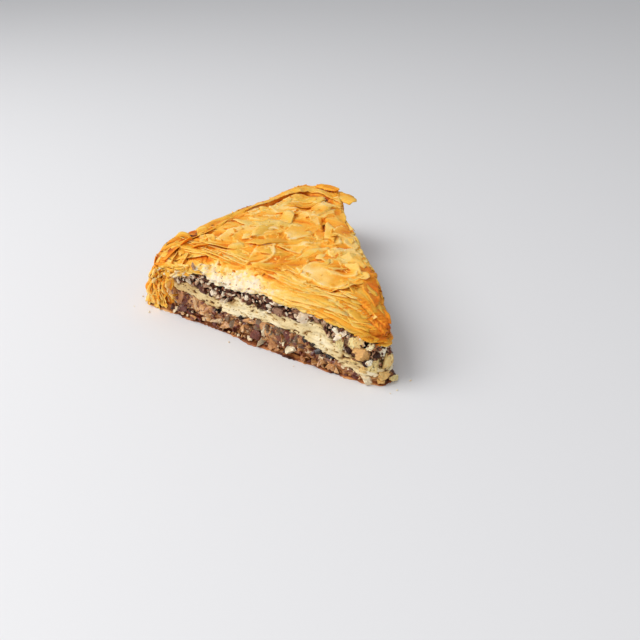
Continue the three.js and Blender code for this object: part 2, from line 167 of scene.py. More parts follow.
def unevenness(x, y, wave, seed):
    """Random humps between -1 and 1, about `wave` wide."""
    lattice = np.random.default_rng(seed).uniform(-1.0, 1.0, (64, 64))
    u, v = np.asarray(x) / wave, np.asarray(y) / wave
    i, j = np.floor(u).astype(int), np.floor(v).astype(int)
    a, b = ease(u - i), ease(v - j)
    i, j, next_i, next_j = i % 64, j % 64, (i + 1) % 64, (j + 1) % 64
    near = mixed(lattice[i, j], lattice[next_i, j], a)
    far = mixed(lattice[i, next_j], lattice[next_i, next_j], a)
    return mixed(near, far, b)


def towards_tip(x):
    return ease((x - (FRONT - 10 - TIP_LENGTH)) / TIP_LENGTH)


def bottom_top(x, y):
    return BOTTOM_STACK - 0.9 * towards_tip(x) + 0.35 * ripple(x, y, 31, 2.2)


def unit(vector):
    return vector / np.linalg.norm(vector)


def walked(path):
    """Distance along a path up to each of its points."""
    return np.concatenate([[0], np.cumsum(np.linalg.norm(np.diff(path, axis=0), axis=1))])


def along(path, steps):
    """Places at distances along a path."""
    return np.column_stack([np.interp(steps, walked(path), path[:, axis]) for axis in (0, 1)])


def way_out(plan):
    ahead = np.roll(plan, -1, axis=0) - np.roll(plan, 1, axis=0)
    outward = np.column_stack([ahead[:, 1], -ahead[:, 0]])
    return outward / np.linalg.norm(outward, axis=1, keepdims=True)


def rounded_plan(front, slant, pan, spacing=SPACING):
    """The piece seen from above with its sides moved in, from the pan corner round by the tip, and the
    way out at each point."""
    tip_x = (FRONT * SIDE - slant * SLANT - FRONT * front) / SIDE
    back_y = (FRONT * SIDE - slant * SLANT - SIDE * pan) / FRONT
    corners = np.array([(pan, front), (tip_x, front), (pan, back_y)])
    points = []
    for number, radius in enumerate(ROUNDING.values()):
        at = corners[number]
        to_before, to_after = unit(corners[number - 1] - at), unit(corners[(number + 1) % 3] - at)
        half = math.acos(to_before @ to_after) / 2
        centre = at + unit(to_before + to_after) * radius / math.sin(half)
        x, y = at + to_before * radius / math.tan(half) - centre
        for turn in np.linspace(0, math.pi - 2 * half, 24):
            cos, sin = math.cos(turn), math.sin(turn)
            points.append(centre + [x * cos - y * sin, x * sin + y * cos])
    closed = np.array(points + points[:1])
    length = walked(closed)[-1]
    count = round(length / spacing)
    plan = along(closed, np.arange(count) * length / count)
    return plan, way_out(plan)


def side_faces(index):
    """Triangles of a wall of rings, from the numbers of its points, lowest ring first."""
    ahead = np.roll(index, -1, axis=1)
    a, b, c, d = index[:-1], ahead[:-1], ahead[1:], index[1:]
    return np.stack([a, b, c, a, c, d], axis=-1).reshape(-1, 3)


def ring_body(rings, marks):
    """A closed body of rings stacked from the bottom up, with a fan at each end."""
    levels, count = rings.shape[:2]
    index = np.arange(levels * count).reshape(levels, count)
    ahead = np.roll(index, -1, axis=1)
    bottom, top = np.full(count, levels * count), np.full(count, levels * count + 1)
    faces = np.concatenate([
        side_faces(index),
        np.column_stack([bottom, ahead[0], index[0]]),
        np.column_stack([top, index[-1], ahead[-1]]),
    ])
    points = np.concatenate([rings.reshape(-1, 3), [rings[0].mean(axis=0)], [rings[-1].mean(axis=0)]])
    ends = [marks[0].mean(axis=0), marks[-1].mean(axis=0)]
    return points, faces, np.concatenate([marks.reshape(-1, marks.shape[-1]), ends])


def stack_wall(plan, outward, low, high, levels, stand_out):
    """The edges of a stack of sheets, as rings. `stand_out` says how far the wall stands out, from the
    distance round the piece, the height and the share of it."""
    around = np.arange(len(plan)) * SPACING
    rings = []
    for share in np.linspace(0, 1, levels + 1):
        z = mixed(low, high, share)
        rings.append(np.column_stack([plan + outward * stand_out(around, z, share)[:, None], z]))
    return np.array(rings)


def belongs(piece, node, slot):
    """A piece rides on the only body and stands for a node, unless it is crumbs on the board."""
    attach(piece, "root")
    if node:
        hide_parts(node)
    return piece


def make_piece(name, bodies, look, node, slot, marks=("bake",)):
    """One object of all the bodies, in the frame. A body is its points, its triangles and, for each point,
    the marks that the look reads."""
    starts = np.cumsum([0] + [len(points) for points, _, _ in bodies])
    points = np.concatenate([points for points, _, _ in bodies])
    faces = np.concatenate([faces + start for (_, faces, _), start in zip(bodies, starts)])
    values = np.concatenate([value for _, _, value in bodies])
    mesh = bpy.data.meshes.new(name)
    mesh.vertices.add(len(points))
    mesh.vertices.foreach_set("co", ((points - ORIGIN) * MM).astype(np.float32).ravel())
    mesh.loops.add(faces.size)
    mesh.loops.foreach_set("vertex_index", faces.astype(np.int32).ravel())
    mesh.polygons.add(len(faces))
    mesh.polygons.foreach_set("loop_start", np.arange(0, faces.size, 3, dtype=np.int32))
    mesh.polygons.foreach_set("use_smooth", np.ones(len(faces), bool))
    mesh.update(calc_edges=True)
    for column, mark in enumerate(marks):
        layer = mesh.attributes.new(mark, "FLOAT", "POINT")
        layer.data.foreach_set("value", values[:, column].astype(np.float32))
    mesh.materials.append(look)
    return belongs(put(name, mesh), node, slot)


def sum_of(tree, first, second, operation="ADD"):
    """One number from two, each a value or an output."""
    return add_node(tree, "ShaderNodeMath", {0: first, 1: second}, operation=operation).outputs[0]


def grain(tree, place, per_mm, detail=3.0):
    """Cloudy unevenness around zero, with `per_mm` clouds to the millimetre."""
    noise = add_node(tree, "ShaderNodeTexNoise", {"Vector": place, "Scale": per_mm, "Detail": detail})
    return sum_of(tree, noise.outputs["Fac"], 0.5, "SUBTRACT")


def mark_of(tree, name):
    return add_node(tree, "ShaderNodeAttribute", attribute_name=name).outputs["Fac"]


def ramp_of(tree, share, colours):
    """The colour at a share of the way through a row of colours, each with its place."""
    ramp = add_node(tree, "ShaderNodeValToRGB", {"Fac": share})
    points = ramp.color_ramp.elements
    for at, _ in colours[1:-1]:
        points.new(at)
    for point, (at, shown) in zip(points, colours):
        point.position, point.color = at, colour(*shown)
    return ramp.outputs["Color"]


def finish_look(tree, shader, base, roughness, relief, depth, numbers):
    """Feeds the shader with a colour, a roughness and a relief, and sets its other numbers."""
    bump = add_node(tree, "ShaderNodeBump", {"Height": relief, "Strength": depth, "Distance": MM})
    for socket, fed in (("Base Color", base), ("Roughness", roughness), ("Normal", bump.outputs["Normal"])):
        tree.links.new(fed, shader.inputs[socket])
    for socket, value in numbers.items():
        shader.inputs[socket].default_value = value


def pastry_look(name, colours, roughness, coat, mottling, wrinkle, glow=0.0):
    """Baked sheets. The mark `bake` runs from raw, 0, to burnt, 1, through the colours, and `glow` is the
    share of the light that goes through a sheet."""
    material, tree, shader, place = new_look(name)
    baked = mark_of(tree, "bake")
    blotches = sum_of(tree, grain(tree, place, 0.16, 4.0), mottling, "MULTIPLY")
    specks = sum_of(tree, grain(tree, place, 1.1), 0.6 * mottling, "MULTIPLY")
    base = ramp_of(tree, sum_of(tree, sum_of(tree, baked, blotches), specks), colours)
    polish = sum_of(tree, sum_of(tree, grain(tree, place, 0.5), 0.35, "MULTIPLY"), roughness)
    folds = sum_of(tree, grain(tree, place, 0.55, 4.0), grain(tree, place, 2.6, 3.0))
    finish_look(tree, shader, base, polish, folds, wrinkle, {
        "Specular IOR Level": 0.14, "Coat Weight": coat, "Coat Roughness": 0.25, "Subsurface Weight": glow,
        "Subsurface Radius": (1.0, 0.75, 0.4), "Subsurface Scale": MM,
    })
    return material


soaked_look = pastry_look(
    "soaked_pastry", SOAKED_COLOURS, roughness=0.42, coat=0.15, mottling=0.8, wrinkle=0.5,
)
SOAKED_SHEETS = 5
plan, outward = rounded_plan(front=0.0, slant=-0.4, pan=-1.6)
reach = np.interp(plan[:, 0], *np.array(REACH_OUT).T) * ease(-outward[:, 1] * 2 - 0.8)


def ragged_sheets(around, _, share):
    sheet = np.floor(share * SOAKED_SHEETS * 0.999)
    ragged = 0.6 * unevenness(around, 11.3 * sheet, 4.3, 71) + 0.4 * unevenness(around, 7.7 * sheet, 1.1, 72)
    tucked = -0.4 * (share < 0.02) - 2.6 * ease(2 * share) - 0.4 * (share > 0.98)
    return ragged + (reach + 0.3) * (1 - ease(1.6 * share)) + tucked


rings = stack_wall(plan, outward, np.zeros(len(plan)), bottom_top(*plan.T) + 0.5, 12, ragged_sheets)
around = np.arange(len(plan)) * SPACING
bake = np.array([
    0.64 + 0.4 * unevenness(around, 9.0 * np.floor(share * SOAKED_SHEETS), 5.5, 73)
    + 0.14 * math.cos(31 * share)
    for share in np.linspace(0, 1, len(rings))
]) - 0.35 * ease((26 - plan[:, 0]) / 14)
soaked_stack = ring_body(rings, np.clip(bake, 0, 1)[:, :, None])
make_piece("soaked_sheets", [soaked_stack], soaked_look, "bottom_sheets", "soaked_pastry")


# ---- Lower walnuts ----------------------------------------------------------------------------------
# Chopped walnuts that lie in the syrup: amber and brown, wet, packed tight, with a few pale pieces. They
# were strewn over the bottom sheets by the handful, and the knife left the pieces standing at the cuts.

NUTS_1_TOP = (
    (15, 12.6), (26, 12.6), (42, 9.6), (56, 9.6), (70, 11.8), (92, 11.4), (106, 7), (118, 4.2), (134, 2.8),
)
FRONT_REACH = 46.0  # how far in the layers keep the heights of the front cut
WRAP = 14.5  # how far in from the pan side the filling ends
AMBER_FLESH = ((0.0, (255, 238, 200)), (0.3, (230, 170, 104)), (0.6, (180, 114, 64)), (0.85, (134, 112, 88)))
AMBER_SKIN = ((0.0, (176, 104, 58)), (0.5, (126, 60, 32)), (0.8, (108, 36, 16)), (1.0, (30, 12, 8)))
NUT_SPANS = ((0.75, 1.15), (0.5, 0.75), (0.35, 0.6))  # length, depth and height, for a half length of 1
LOWER_SIZES = ((5.2, 130, 2), (3.6, 700, 2), (2.4, 2400, 1), (1.5, 3600, 1))  # half length, tries, fineness
LOWER_KINDS = (  # tone, share of skin, how often
    (0.05, 0.0, 2), (0.3, 0.1, 4), (0.5, 0.4, 4), (0.4, 0.7, 2), (0.8, 0.95, 3),
)
GREY_SIZES = ((3.2, 80, 2), (2.2, 200, 1))
GREY_KINDS = ((0.85, 0.0, 3), (0.8, 0.5, 2))
SHADOW_POCKETS = (
    (59.0, 9.2, 2.0, 1.3), (94.0, 11.0, 2.0, 1.0), (98.0, 9.8, 2.4, 1.3), (102.0, 8.0, 2.4, 1.3),
    (106.5, 6.2, 1.8, 0.8), (27.0, 3.4, 4.0, 0.6), (45.0, 8.6, 2.2, 0.8),
)  # painted shade pockets at the cut: place along the front, height, half length and half height
WHITE_PIECE = (87.2, -0.2, 3.3)
SMOOTH_UPRIGHT = {"fineness": 3, "turn": np.eye(3), "rough": 0.012}  # for the pieces that are placed one by one


def layer_face(knots, mean, seed):
    """The face between two layers: it follows the front cut's heights, with a smooth step from each knot
    to the next, and evens out further in."""
    at, heights = np.array(knots, float).T

    def height(x, y):
        i = np.clip(np.searchsorted(at, x, side="right") - 1, 0, len(at) - 2)
        at_front = mixed(heights[i], heights[i + 1], ease((x - at[i]) / (at[i + 1] - at[i])))
        inside = ease(y / FRONT_REACH) * (1 - towards_tip(x))
        return mixed(at_front, mean + 1.3 * ripple(x, y, 47, seed), inside)

    return height


def ball(subdivisions):
    """Points and triangles of a ball of radius 1."""
    tau = (1 + math.sqrt(5)) / 2
    points = [(-1, tau, 0), (1, tau, 0), (-1, -tau, 0), (1, -tau, 0), (0, -1, tau), (0, 1, tau),
              (0, -1, -tau), (0, 1, -tau), (tau, 0, -1), (tau, 0, 1), (-tau, 0, -1), (-tau, 0, 1)]
    faces = [(0, 11, 5), (0, 5, 1), (0, 1, 7), (0, 7, 10), (0, 10, 11), (1, 5, 9), (5, 11, 4), (11, 10, 2),
             (10, 7, 6), (7, 1, 8), (3, 9, 4), (3, 4, 2), (3, 2, 6), (3, 6, 8), (3, 8, 9), (4, 9, 5),
             (2, 4, 11), (6, 2, 10), (8, 6, 7), (9, 8, 1)]
    points = [unit(np.array(p, float)) for p in points]
    for _ in range(subdivisions):
        middles, finer = {}, []
        for face in faces:
            mids = []
            for a, b in zip(face, face[1:] + face[:1]):
                edge = (min(a, b), max(a, b))
                if edge not in middles:
                    middles[edge] = len(points)
                    points.append(unit(points[a] + points[b]))
                mids.append(middles[edge])
            a, b, c = face
            ab, bc, ca = mids
            finer += [(a, ab, ca), (b, bc, ab), (c, ca, bc), (ab, bc, ca)]
        faces = finer
    return np.array(points), np.array(faces)


BALLS = [ball(subdivisions) for subdivisions in range(4)]


def any_direction(rng):
    return unit(rng.normal(size=3))


def random_turn(rng):
    turned, _ = np.linalg.qr(rng.normal(size=(3, 3)))
    return turned * np.sign(np.linalg.det(turned))


def nut_piece(rng, at, reach, floor, ceiling, tone, skin_share=0.5, fineness=2, turn=None, rough=0.04):
    """A broken piece of walnut: part of the nut's lobed outside with its brown skin, and rough breaks that
    show the flesh. It stays between the two layers it lies in."""
    directions, faces = BALLS[fineness]
    points = directions * 1.0
    for wave in (3.2, 5.5, 9.0, 12.0):
        furrows = np.abs(np.sin(directions @ (wave * any_direction(rng)) + rng.uniform(0, 6)))
        points += directions * (0.2 * furrows - 0.14)[:, None]
    broken = np.zeros(len(points), bool)
    for _ in range(rng.integers(4, 8)):
        normal = any_direction(rng)
        over = points @ normal - rng.uniform(0.2, 0.65)
        points = points - np.where(over > 0, over, 0)[:, None] * normal
        broken |= over > 0
    points *= 1 + rng.normal(0, rough, len(points))[:, None]
    bare = directions @ any_direction(rng) > 2 * skin_share - 1
    skin = np.where(broken & (skin_share < 0.9) | bare, 0.0, 1.0)
    points = points * np.asarray(reach) @ (random_turn(rng) if turn is None else turn).T + at
    points[:, 2] = np.clip(points[:, 2], floor, ceiling)
    tones = np.full(len(points), tone) + rng.normal(0, 0.05, len(points))
    return points, faces, np.column_stack([tones, skin])


CUT_PLAN, CUT_OUTWARD = rounded_plan(front=0, slant=0, pan=0)


def cut_place(around):
    """Place and way out on the side of the piece, at a distance round it from the pan corner."""
    spot = np.asarray(around) / SPACING
    i = np.floor(spot).astype(int)
    share = (spot - i)[..., None]
    here, ahead = i % len(CUT_PLAN), (i + 1) % len(CUT_PLAN)
    return mixed(CUT_PLAN[here], CUT_PLAN[ahead], share), mixed(CUT_OUTWARD[here], CUT_OUTWARD[ahead], share)


def round_to(x, y=0.0):
    """Distance round the piece of the point on its side next to x, y."""
    return SPACING * np.argmin(np.hypot(CUT_PLAN[:, 0] - x, CUT_PLAN[:, 1] - y))


BACK_END = round_to(WRAP + 8, 110)


def packed_nuts(rng, low, high, sizes, kinds, hollows, apart, sunk, first, last, hang=-0.1, lean=0.0):
    """Pieces of walnut side by side along the cuts, the large ones first, then what fits between. A kind is
    a tone, a share of skin and how often it comes. They may `hang` down over the layer below, and the
    lowest may `lean` out over it."""
    bodies = []
    placed = np.empty((0, 3))
    chances = np.array([chance for _, _, chance in kinds])
    for size, count, fineness in sizes:
        for _ in range(count):
            around = rng.uniform(first, last)
            (x, y), outward = cut_place(around)
            floor, ceiling = low(x, y) - hang, high(x, y) - 0.1
            length = size * rng.uniform(0.7, 1.25)
            z = rng.uniform(floor + 0.2 * length, max(ceiling - 0.2 * length, floor + 0.25 * length))
            clear = 0.75 * length
            if any(
                math.hypot((around - s) / (w + clear), (z - h) / (t + clear)) < 1 for s, h, w, t in hollows
            ):
                continue
            far = np.hypot(placed[:, 0] - around, 1.15 * (placed[:, 1] - z))
            if np.any(far < apart * (placed[:, 2] + length)):
                continue
            placed = np.vstack([placed, [around, z, length]])
            out = lean * ease((4.6 - z) / 3) * (1 - towards_tip(x))
            depth = sunk + rng.uniform(-0.05, 0.3) * length + 1.6 * towards_tip(x) - out
            at = np.array([x - outward[0] * depth, y - outward[1] * depth, z])
            reach = length * np.array([rng.uniform(*span) for span in NUT_SPANS])
            tone, skin, _ = kinds[rng.choice(len(kinds), p=chances / chances.sum())]
            tone += rng.normal(0, 0.06)
            bodies.append(nut_piece(rng, at, reach, floor, ceiling, tone, skin, fineness))
    return bodies


def nut_bed(low, high, pan, depth, hollows, seed, tone, skin):
    """The rest of the layer behind the pieces that show: rough, in shadow, and deep at the hollows, where its
    colour is painted darker as shade.
    """
    plan, outward = rounded_plan(front=depth, slant=depth, pan=pan)
    low, high = low(*plan.T) + 0.05, high(*plan.T) - 0.05
    from_corner = np.array([round_to(x, y) for x, y in plan])

    def cave(z):
        dips = (np.exp(-(((from_corner - s) / w) ** 2) - ((z - h) / t) ** 2) for s, h, w, t in hollows)
        return np.clip(sum(dips), 0, 1)

    def stand_out(around, z, share):
        lumps = unevenness(around, 1.4 * z, 3.0, seed) + 0.6 * unevenness(around, z, 1.2, seed + 1)
        return 0.9 * lumps * math.sin(math.pi * min(max(share, 0.04), 0.96)) - 3.2 * cave(z)

    rings = stack_wall(plan, outward, low, high, 14, stand_out)
    around = np.arange(len(plan)) * SPACING
    marks = []
    for z in rings[:, :, 2]:
        tones = tone + 0.3 * unevenness(around, z, 3.0, seed + 2) + 0.2 * unevenness(around, z, 1.1, seed + 3)
        # Painted shade: the hollows push the tone and the skin to their darkest.
        marks.append(np.column_stack([tones + cave(z), np.clip(skin + cave(z), 0, 1)]))
    return ring_body(rings, np.array(marks))


def walnut_look(name, flesh, skins, roughness, coat):
    """Walnut. The mark `tone` runs through the colours of the flesh and `skin` is 1 where skin covers it."""
    material, tree, shader, place = new_look(name)
    tone, skin = mark_of(tree, "tone"), mark_of(tree, "skin")
    clouds = sum_of(tree, grain(tree, place, 0.9, 4.0), 0.5, "MULTIPLY")
    inside, outside = (ramp_of(tree, sum_of(tree, tone, clouds), colours) for colours in (flesh, skins))
    patches = sum_of(tree, grain(tree, place, 0.55, 4.0), 1.7, "MULTIPLY")
    ragged = sum_of(tree, sum_of(tree, skin, 0.6, "MULTIPLY"), patches)
    covered = add_node(tree, "ShaderNodeMapRange", {"Value": ragged, "From Min": 0.28, "From Max": 0.38})
    mix = add_node(tree, "ShaderNodeMix", {0: covered.outputs[0], 6: inside, 7: outside}, data_type="RGBA")
    polish = sum_of(tree, sum_of(tree, grain(tree, place, 1.4), 0.3, "MULTIPLY"), roughness)
    bumps = sum_of(tree, grain(tree, place, 1.2, 4.0), grain(tree, place, 4.5))
    finish_look(tree, shader, mix.outputs[2], polish, bumps, 0.6, {
        "Specular IOR Level": 0.25, "Coat Weight": coat, "Coat Roughness": 0.18,
    })
    return material


def nut_layer(name, bodies, look, node, slot):
    """A layer's pieces of walnut, with the edges of their breaks kept sharp."""
    nuts = make_piece(name, bodies, look, node, slot, ("tone", "skin"))
    nuts.data.set_sharp_from_angle(angle=math.radians(46))


nuts1_top = layer_face(NUTS_1_TOP, 11.4, 0.4)
amber_look = walnut_look("syrupy_walnut", AMBER_FLESH, AMBER_SKIN, roughness=0.34, coat=0.8)
lower_hollows = tuple((round_to(x), z, length, height) for x, z, length, height in SHADOW_POCKETS)
white_space = ((round_to(WHITE_PIECE[0]), WHITE_PIECE[2], 3.4, 1.6),)
rng = np.random.default_rng(23)
bodies = [
    nut_piece(rng, WHITE_PIECE, (3.7, 2.0, 1.7), 1.4, 6.0, tone=-0.2, skin_share=0.05, **SMOOTH_UPRIGHT),
    nut_bed(bottom_top, nuts1_top, WRAP + 2.2, 1.0, lower_hollows, seed=81, tone=0.6, skin=0.35),
]
for _ in range(9):  # dark pieces in the corner under the fold
    at = (rng.uniform(16, 31), rng.uniform(0.2, 1.2), rng.uniform(2.6, 9.5))
    reach = rng.uniform(1.3, 2.4) * np.array([1.0, 0.8, 0.7])
    tone = rng.uniform(0.7, 0.95)
    bodies.append(nut_piece(rng, at, reach, floor=0.8, ceiling=11.5, tone=tone, skin_share=0.97))
bodies += packed_nuts(
    rng, bottom_top, nuts1_top, LOWER_SIZES, LOWER_KINDS, lower_hollows + white_space, apart=0.45, sunk=1.0,
    first=round_to(18), last=BACK_END, hang=1.6, lean=1.3,
)
bodies += packed_nuts(  # greyish pieces along the top
    rng, lambda x, y: nuts1_top(x, y) - 5, nuts1_top, GREY_SIZES, GREY_KINDS, lower_hollows, apart=0.5,
    sunk=0.7, first=round_to(46), last=round_to(94),
)
# Near-black pieces sunk in the pockets, a painted shade for the deep gaps at the cut.
for x, z, length, height in SHADOW_POCKETS:
    reach = (1.2 * length, 1.4, 1.2 * height)
    points, faces, marks = nut_piece(rng, (x, 1.0, z), reach, 0.8, 12.0, tone=1.2, skin_share=0.99)
    bodies.append((points, faces, marks * [1, 2]))
nut_layer("lower_walnut_pieces", bodies, amber_look, "lower_walnuts", "syrupy_walnut")


# ---- Middle sheets ----------------------------------------------------------------------------------
# Soft pale sheets between the two layers of walnuts, steamed rather than baked: cream, with the thin line
# of each sheet and small holes showing where the knife went through. They thin out towards the tip.

SHEETS_TOP = (
    (15, 15.4), (28, 17.4), (50, 14.6), (58, 18.6), (64, 17.4), (90, 17.6), (98, 20), (102, 20.6),
    (107, 15), (120, 9.6), (134, 5.4),
)
PALE_COLOURS = (
    (0.0, (252, 238, 204)), (0.3, (238, 216, 166)), (0.55, (212, 180, 122)), (0.8, (150, 106, 62)),
    (1.0, (60, 36, 20)),
)
PALE_SHEET = 0.66  # thickness of one sheet
PALE_LEVELS = 30  # rings of points up the side
sheets_top = layer_face(SHEETS_TOP, 17.3, 1.3)
pale_look = pastry_look("pale_pastry", PALE_COLOURS, roughness=0.6, coat=0.0, mottling=0.3, wrinkle=0.35)

plan, outward = rounded_plan(front=0.4, slant=0.4, pan=WRAP + 1.5)
around = np.arange(len(plan)) * SPACING
low = nuts1_top(*plan.T) + 0.1 - 0.8 * unevenness(around, 0 * around, 2.4, 95)
high = sheets_top(*plan.T) - 0.1 + 0.8 * unevenness(around, 0 * around, 1.9, 96)
left_end = ease((62 - plan[:, 0]) / 30) * (plan[:, 1] < 4)
rings, bakes = [], []
for share in np.linspace(0, 1, PALE_LEVELS + 1):
    z = mixed(low, high, share)
    wavy = (z + 0.8 * unevenness(around, z, 9, 91)) / PALE_SHEET
    number = np.floor(wavy)
    groove = np.abs(wavy - number - 0.5) * 2
    stands = 0.45 * unevenness(around, 5.3 * number, 6.0, 92)
    stands = stands + 0.3 * unevenness(around, 3.9 * number, 1.5, 93)
    holes = np.clip(unevenness(around, 1.6 * z, 1.6, 94) - 0.5, 0, 1) * 3.6
    specks = np.clip(unevenness(1.3 * around, 1.8 * z, 1.0, 97) - 0.66, 0, 1) * 3.6
    edge = (share < 0.01) | (share > 0.99)
    out = stands - 0.25 * groove**4 - holes - 1.2 * edge
    rings.append(np.column_stack([plan + outward * out[:, None], z]))
    # Holes and the grooves between sheets are painted darker, as shade; the specks and the tan left end are
    # the sheets' own colour.
    shade = 0.25 + 0.06 * groove**3 + 0.5 * np.clip(holes, 0, 1) + 0.34 * left_end + 0.1 * stands + specks
    bakes.append(shade + 0.3 * unevenness(around, 1.5 * z, 6, 98) + 0.25 * edge)
pale_stack = ring_body(np.array(rings), np.array(bakes)[:, :, None])
make_piece("pale_sheets", [pale_stack], pale_look, "middle_sheets", "pale_pastry")


# ---- Upper walnuts ----------------------------------------------------------------------------------
# The second layer of chopped walnuts lies above the syrup and stays dry: purple-brown skins, greyish and
# pale broken flesh and hollows between, where the layer behind the pieces is painted near black as shade.
# Some large pale pieces fill the end at the tip.

NUTS_2_TOP = (
    (15, 17.8), (22, 21), (32, 24.8), (47, 21.4), (56, 21.4), (72, 23.8), (100, 23.2), (109, 22.6),
    (120, 20), (136, 15.4),
)
NUTS_2_MEAN = 23.4
DRY_FLESH = ((0.0, (255, 240, 214)), (0.25, (240, 206, 166)), (0.5, (180, 134, 104)), (1.0, (112, 74, 56)))
DRY_SKIN = ((0.0, (168, 100, 60)), (0.5, (110, 54, 32)), (1.0, (26, 10, 6)))
UPPER_SIZES = ((4.4, 24, 3), (3.1, 300, 2), (2.0, 2000, 1), (1.3, 4200, 1))
UPPER_KINDS = ((0.0, 0.02, 4), (0.2, 0.2, 3), (0.5, 0.5, 2), (0.45, 0.8, 4), (0.75, 0.97, 6))
HOLLOWS = (
    (25, 18.0, 1.2, 1.2), (70, 21.4, 3.2, 0.5), (34, 23.4, 3.6, 0.5), (118, 13.2, 0.8, 2.4),
    (47, 18.2, 1.4, 0.6), (86, 21.6, 1.6, 0.6), (107, 19.0, 1.0, 1.2),
)
nuts2_top = layer_face(NUTS_2_TOP, NUTS_2_MEAN, 2.9)
dry_look = walnut_look("dark_walnut", DRY_FLESH, DRY_SKIN, roughness=0.4, coat=0.3)
upper_hollows = tuple((round_to(x), z, length, height) for x, z, length, height in HOLLOWS)
tip_space = ((round_to(127, 1), 9.0, 8.0, 8.0),)  # kept free for the large pieces
rng = np.random.default_rng(37)
# The bed behind the pieces gets the darkest tone and full skin: painted shade for the gaps between them.
bodies = [nut_bed(sheets_top, nuts2_top, WRAP + 2, 3.2, upper_hollows, seed=83, tone=1.0, skin=1.0)]
bodies += packed_nuts(
    rng, sheets_top, nuts2_top, UPPER_SIZES, UPPER_KINDS, upper_hollows + tip_space, apart=0.48, sunk=0.5,
    first=round_to(20), last=BACK_END, hang=0.3,
)
standing = (33.8, -0.2, 26.6), (1.3, 0.9, 3.0)
bodies.append(nut_piece(rng, *standing, 23.0, 30.0, tone=0.5, skin_share=0.05, **SMOOTH_UPRIGHT))
nut_layer("upper_walnut_pieces", bodies, dry_look, "upper_walnuts", "dark_walnut")


# ---- Walnuts at the tip ------------------------------------------------------------------------------
# Where the layers end, large pieces fill the corner under the crust: halves and quarters of the kernel,
# yellowed with butter, that the knife pushed ahead of it.

TIP_FLESH = ((0.0, (255, 246, 222)), (0.3, (255, 232, 160)), (0.6, (250, 196, 116)), (1.0, (204, 146, 94)))
TIP_SKIN = ((0.0, (198, 126, 70)), (0.5, (140, 74, 42)), (1.0, (62, 26, 12)))
TIP_NUTS = (  # place, half length, depth and height, tone, share of skin
    ((110.5, 0.8, 19.2), (1.6, 1.4, 1.4), 0.0, 0.1), ((112.8, 0.8, 15.6), (1.7, 1.8, 3.0), 0.3, 0.3),
    ((117.4, 1.0, 17.0), (2.0, 1.8, 2.6), 0.3, 0.3), ((120.6, 1.4, 17.6), (2.0, 1.6, 1.8), 0.45, 0.3),
    ((122.0, 1.6, 13.2), (3.8, 2.4, 2.7), 0.75, 0.35), ((124.6, 3.0, 16.6), (2.6, 2.2, 1.3), 0.2, 0.8),
    ((127.0, 4.4, 13.4), (1.2, 1.5, 1.7), 1.2, 1.0), ((125.6, 1.6, 9.4), (1.5, 1.3, 1.4), 0.0, 0.1),
    ((127.2, 3.6, 6.8), (2.3, 2.2, 4.2), 0.35, 0.05), ((127.6, 8.0, 14.2), (2.0, 2.4, 2.6), 0.05, 0.1),
    ((129.0, 8.4, 8.2), (2.0, 2.6, 3.4), 0.45, 0.25), ((123.6, 1.0, 6.0), (1.6, 1.2, 1.3), 0.5, 0.5),
    ((124.0, 0.9, 9.8), (1.3, 1.2, 1.5), 1.2, 1.0), ((116.6, 0.8, 12.6), (1.5, 1.2, 1.5), 1.2, 1.0),
    ((119.0, 0.8, 9.6), (1.9, 1.3, 1.3), 0.4, 0.3), ((129.6, 6.0, 3.6), (1.9, 2.2, 1.4), 0.55, 0.3),
    ((131.8, 10.0, 1.9), (1.8, 2.0, 1.0), 0.3, 0.1), ((129.4, 3.4, 1.7), (2.0, 1.4, 0.8), 0.6, 0.2),
)
tip_look = walnut_look("tip_walnut", TIP_FLESH, TIP_SKIN, roughness=0.4, coat=0.25)
rng = np.random.default_rng(38)
bodies = []
for at, (length, depth, height), tone, skin in TIP_NUTS:
    floor, ceiling = at[2] - height - 0.5, at[2] + height + 0.5
    reach = np.array([length, depth, height]) * 1.3
    bodies.append(nut_piece(rng, at, reach, floor, ceiling, tone, skin, **SMOOTH_UPRIGHT))
make_piece("tip_walnut_pieces", bodies, tip_look, "upper_walnuts", "dark_walnut", ("tone", "skin"))


# ---- Crust ------------------------------------------------------------------------------------------
# Some thirty buttered sheets, baked crisp and golden, that have broken into overlapping torn plates. They
# come down to the filling at the front cut in terraces and hang out over the slanting cut at the back.
# The side towards the pan is the same sheets turned down.

CRUST_TOP = 29.3
CRUST_EDGE = 1.9  # thickness of the crust at the front cut
CRUST_SPACING = 0.43
FRONT_SLOPE = 18.0  # depth of the slope over the front cut, with rows of points closer together
OVERHANG = 5.0  # how far the crust hangs out past the slanting cut, next to the back corner
LEAN = 4.6  # how far the pan side leans in over its height
LEAN_HEIGHT = 26.0
LEAF_GAP = ((57.3, 61.8), (48.3, 73.0), (61.3, 62.4))  # round the pointed leaf
FOLD_GAP = ((14.6, 62), (14.2, 72), (13, 84), (13, 92), (17, 98), (22.5, 99.5), (30, 97.5), (36, 93))
TERRACE = 0.65  # height of one terrace
WALL_SHEET = 0.55  # thickness of a sheet at the sides
WALL_LEVELS = 32  # rings of points up the sides
GOLDEN_COLOURS = (
    (0.0, (236, 222, 196)), (0.12, (254, 211, 132)), (0.28, (250, 187, 77)), (0.48, (242, 156, 38)),
    (0.66, (220, 115, 22)), (0.84, (158, 72, 20)), (1.0, (74, 28, 8)),
)
golden_look = pastry_look(
    "golden_pastry", GOLDEN_COLOURS, roughness=0.5, coat=0.0, mottling=0.26, wrinkle=0.25, glow=0.45,
)


def creases(x, y, wave, seed):
    """Sharp crumpled folds between -1 and 1."""
    finer = np.abs(unevenness(x, y, 0.45 * wave, seed + 1))
    return 1 - 2 * np.abs(unevenness(x, y, wave, seed)) - 0.6 * finer


def hump(across, along=0.0):
    """1 in the middle of a place, falling off softly round it."""
    return np.exp(-(across**2) - along**2)


def edge_fall(distance, width):
    return (1 - np.clip(distance / width, 0, 1)) ** 2


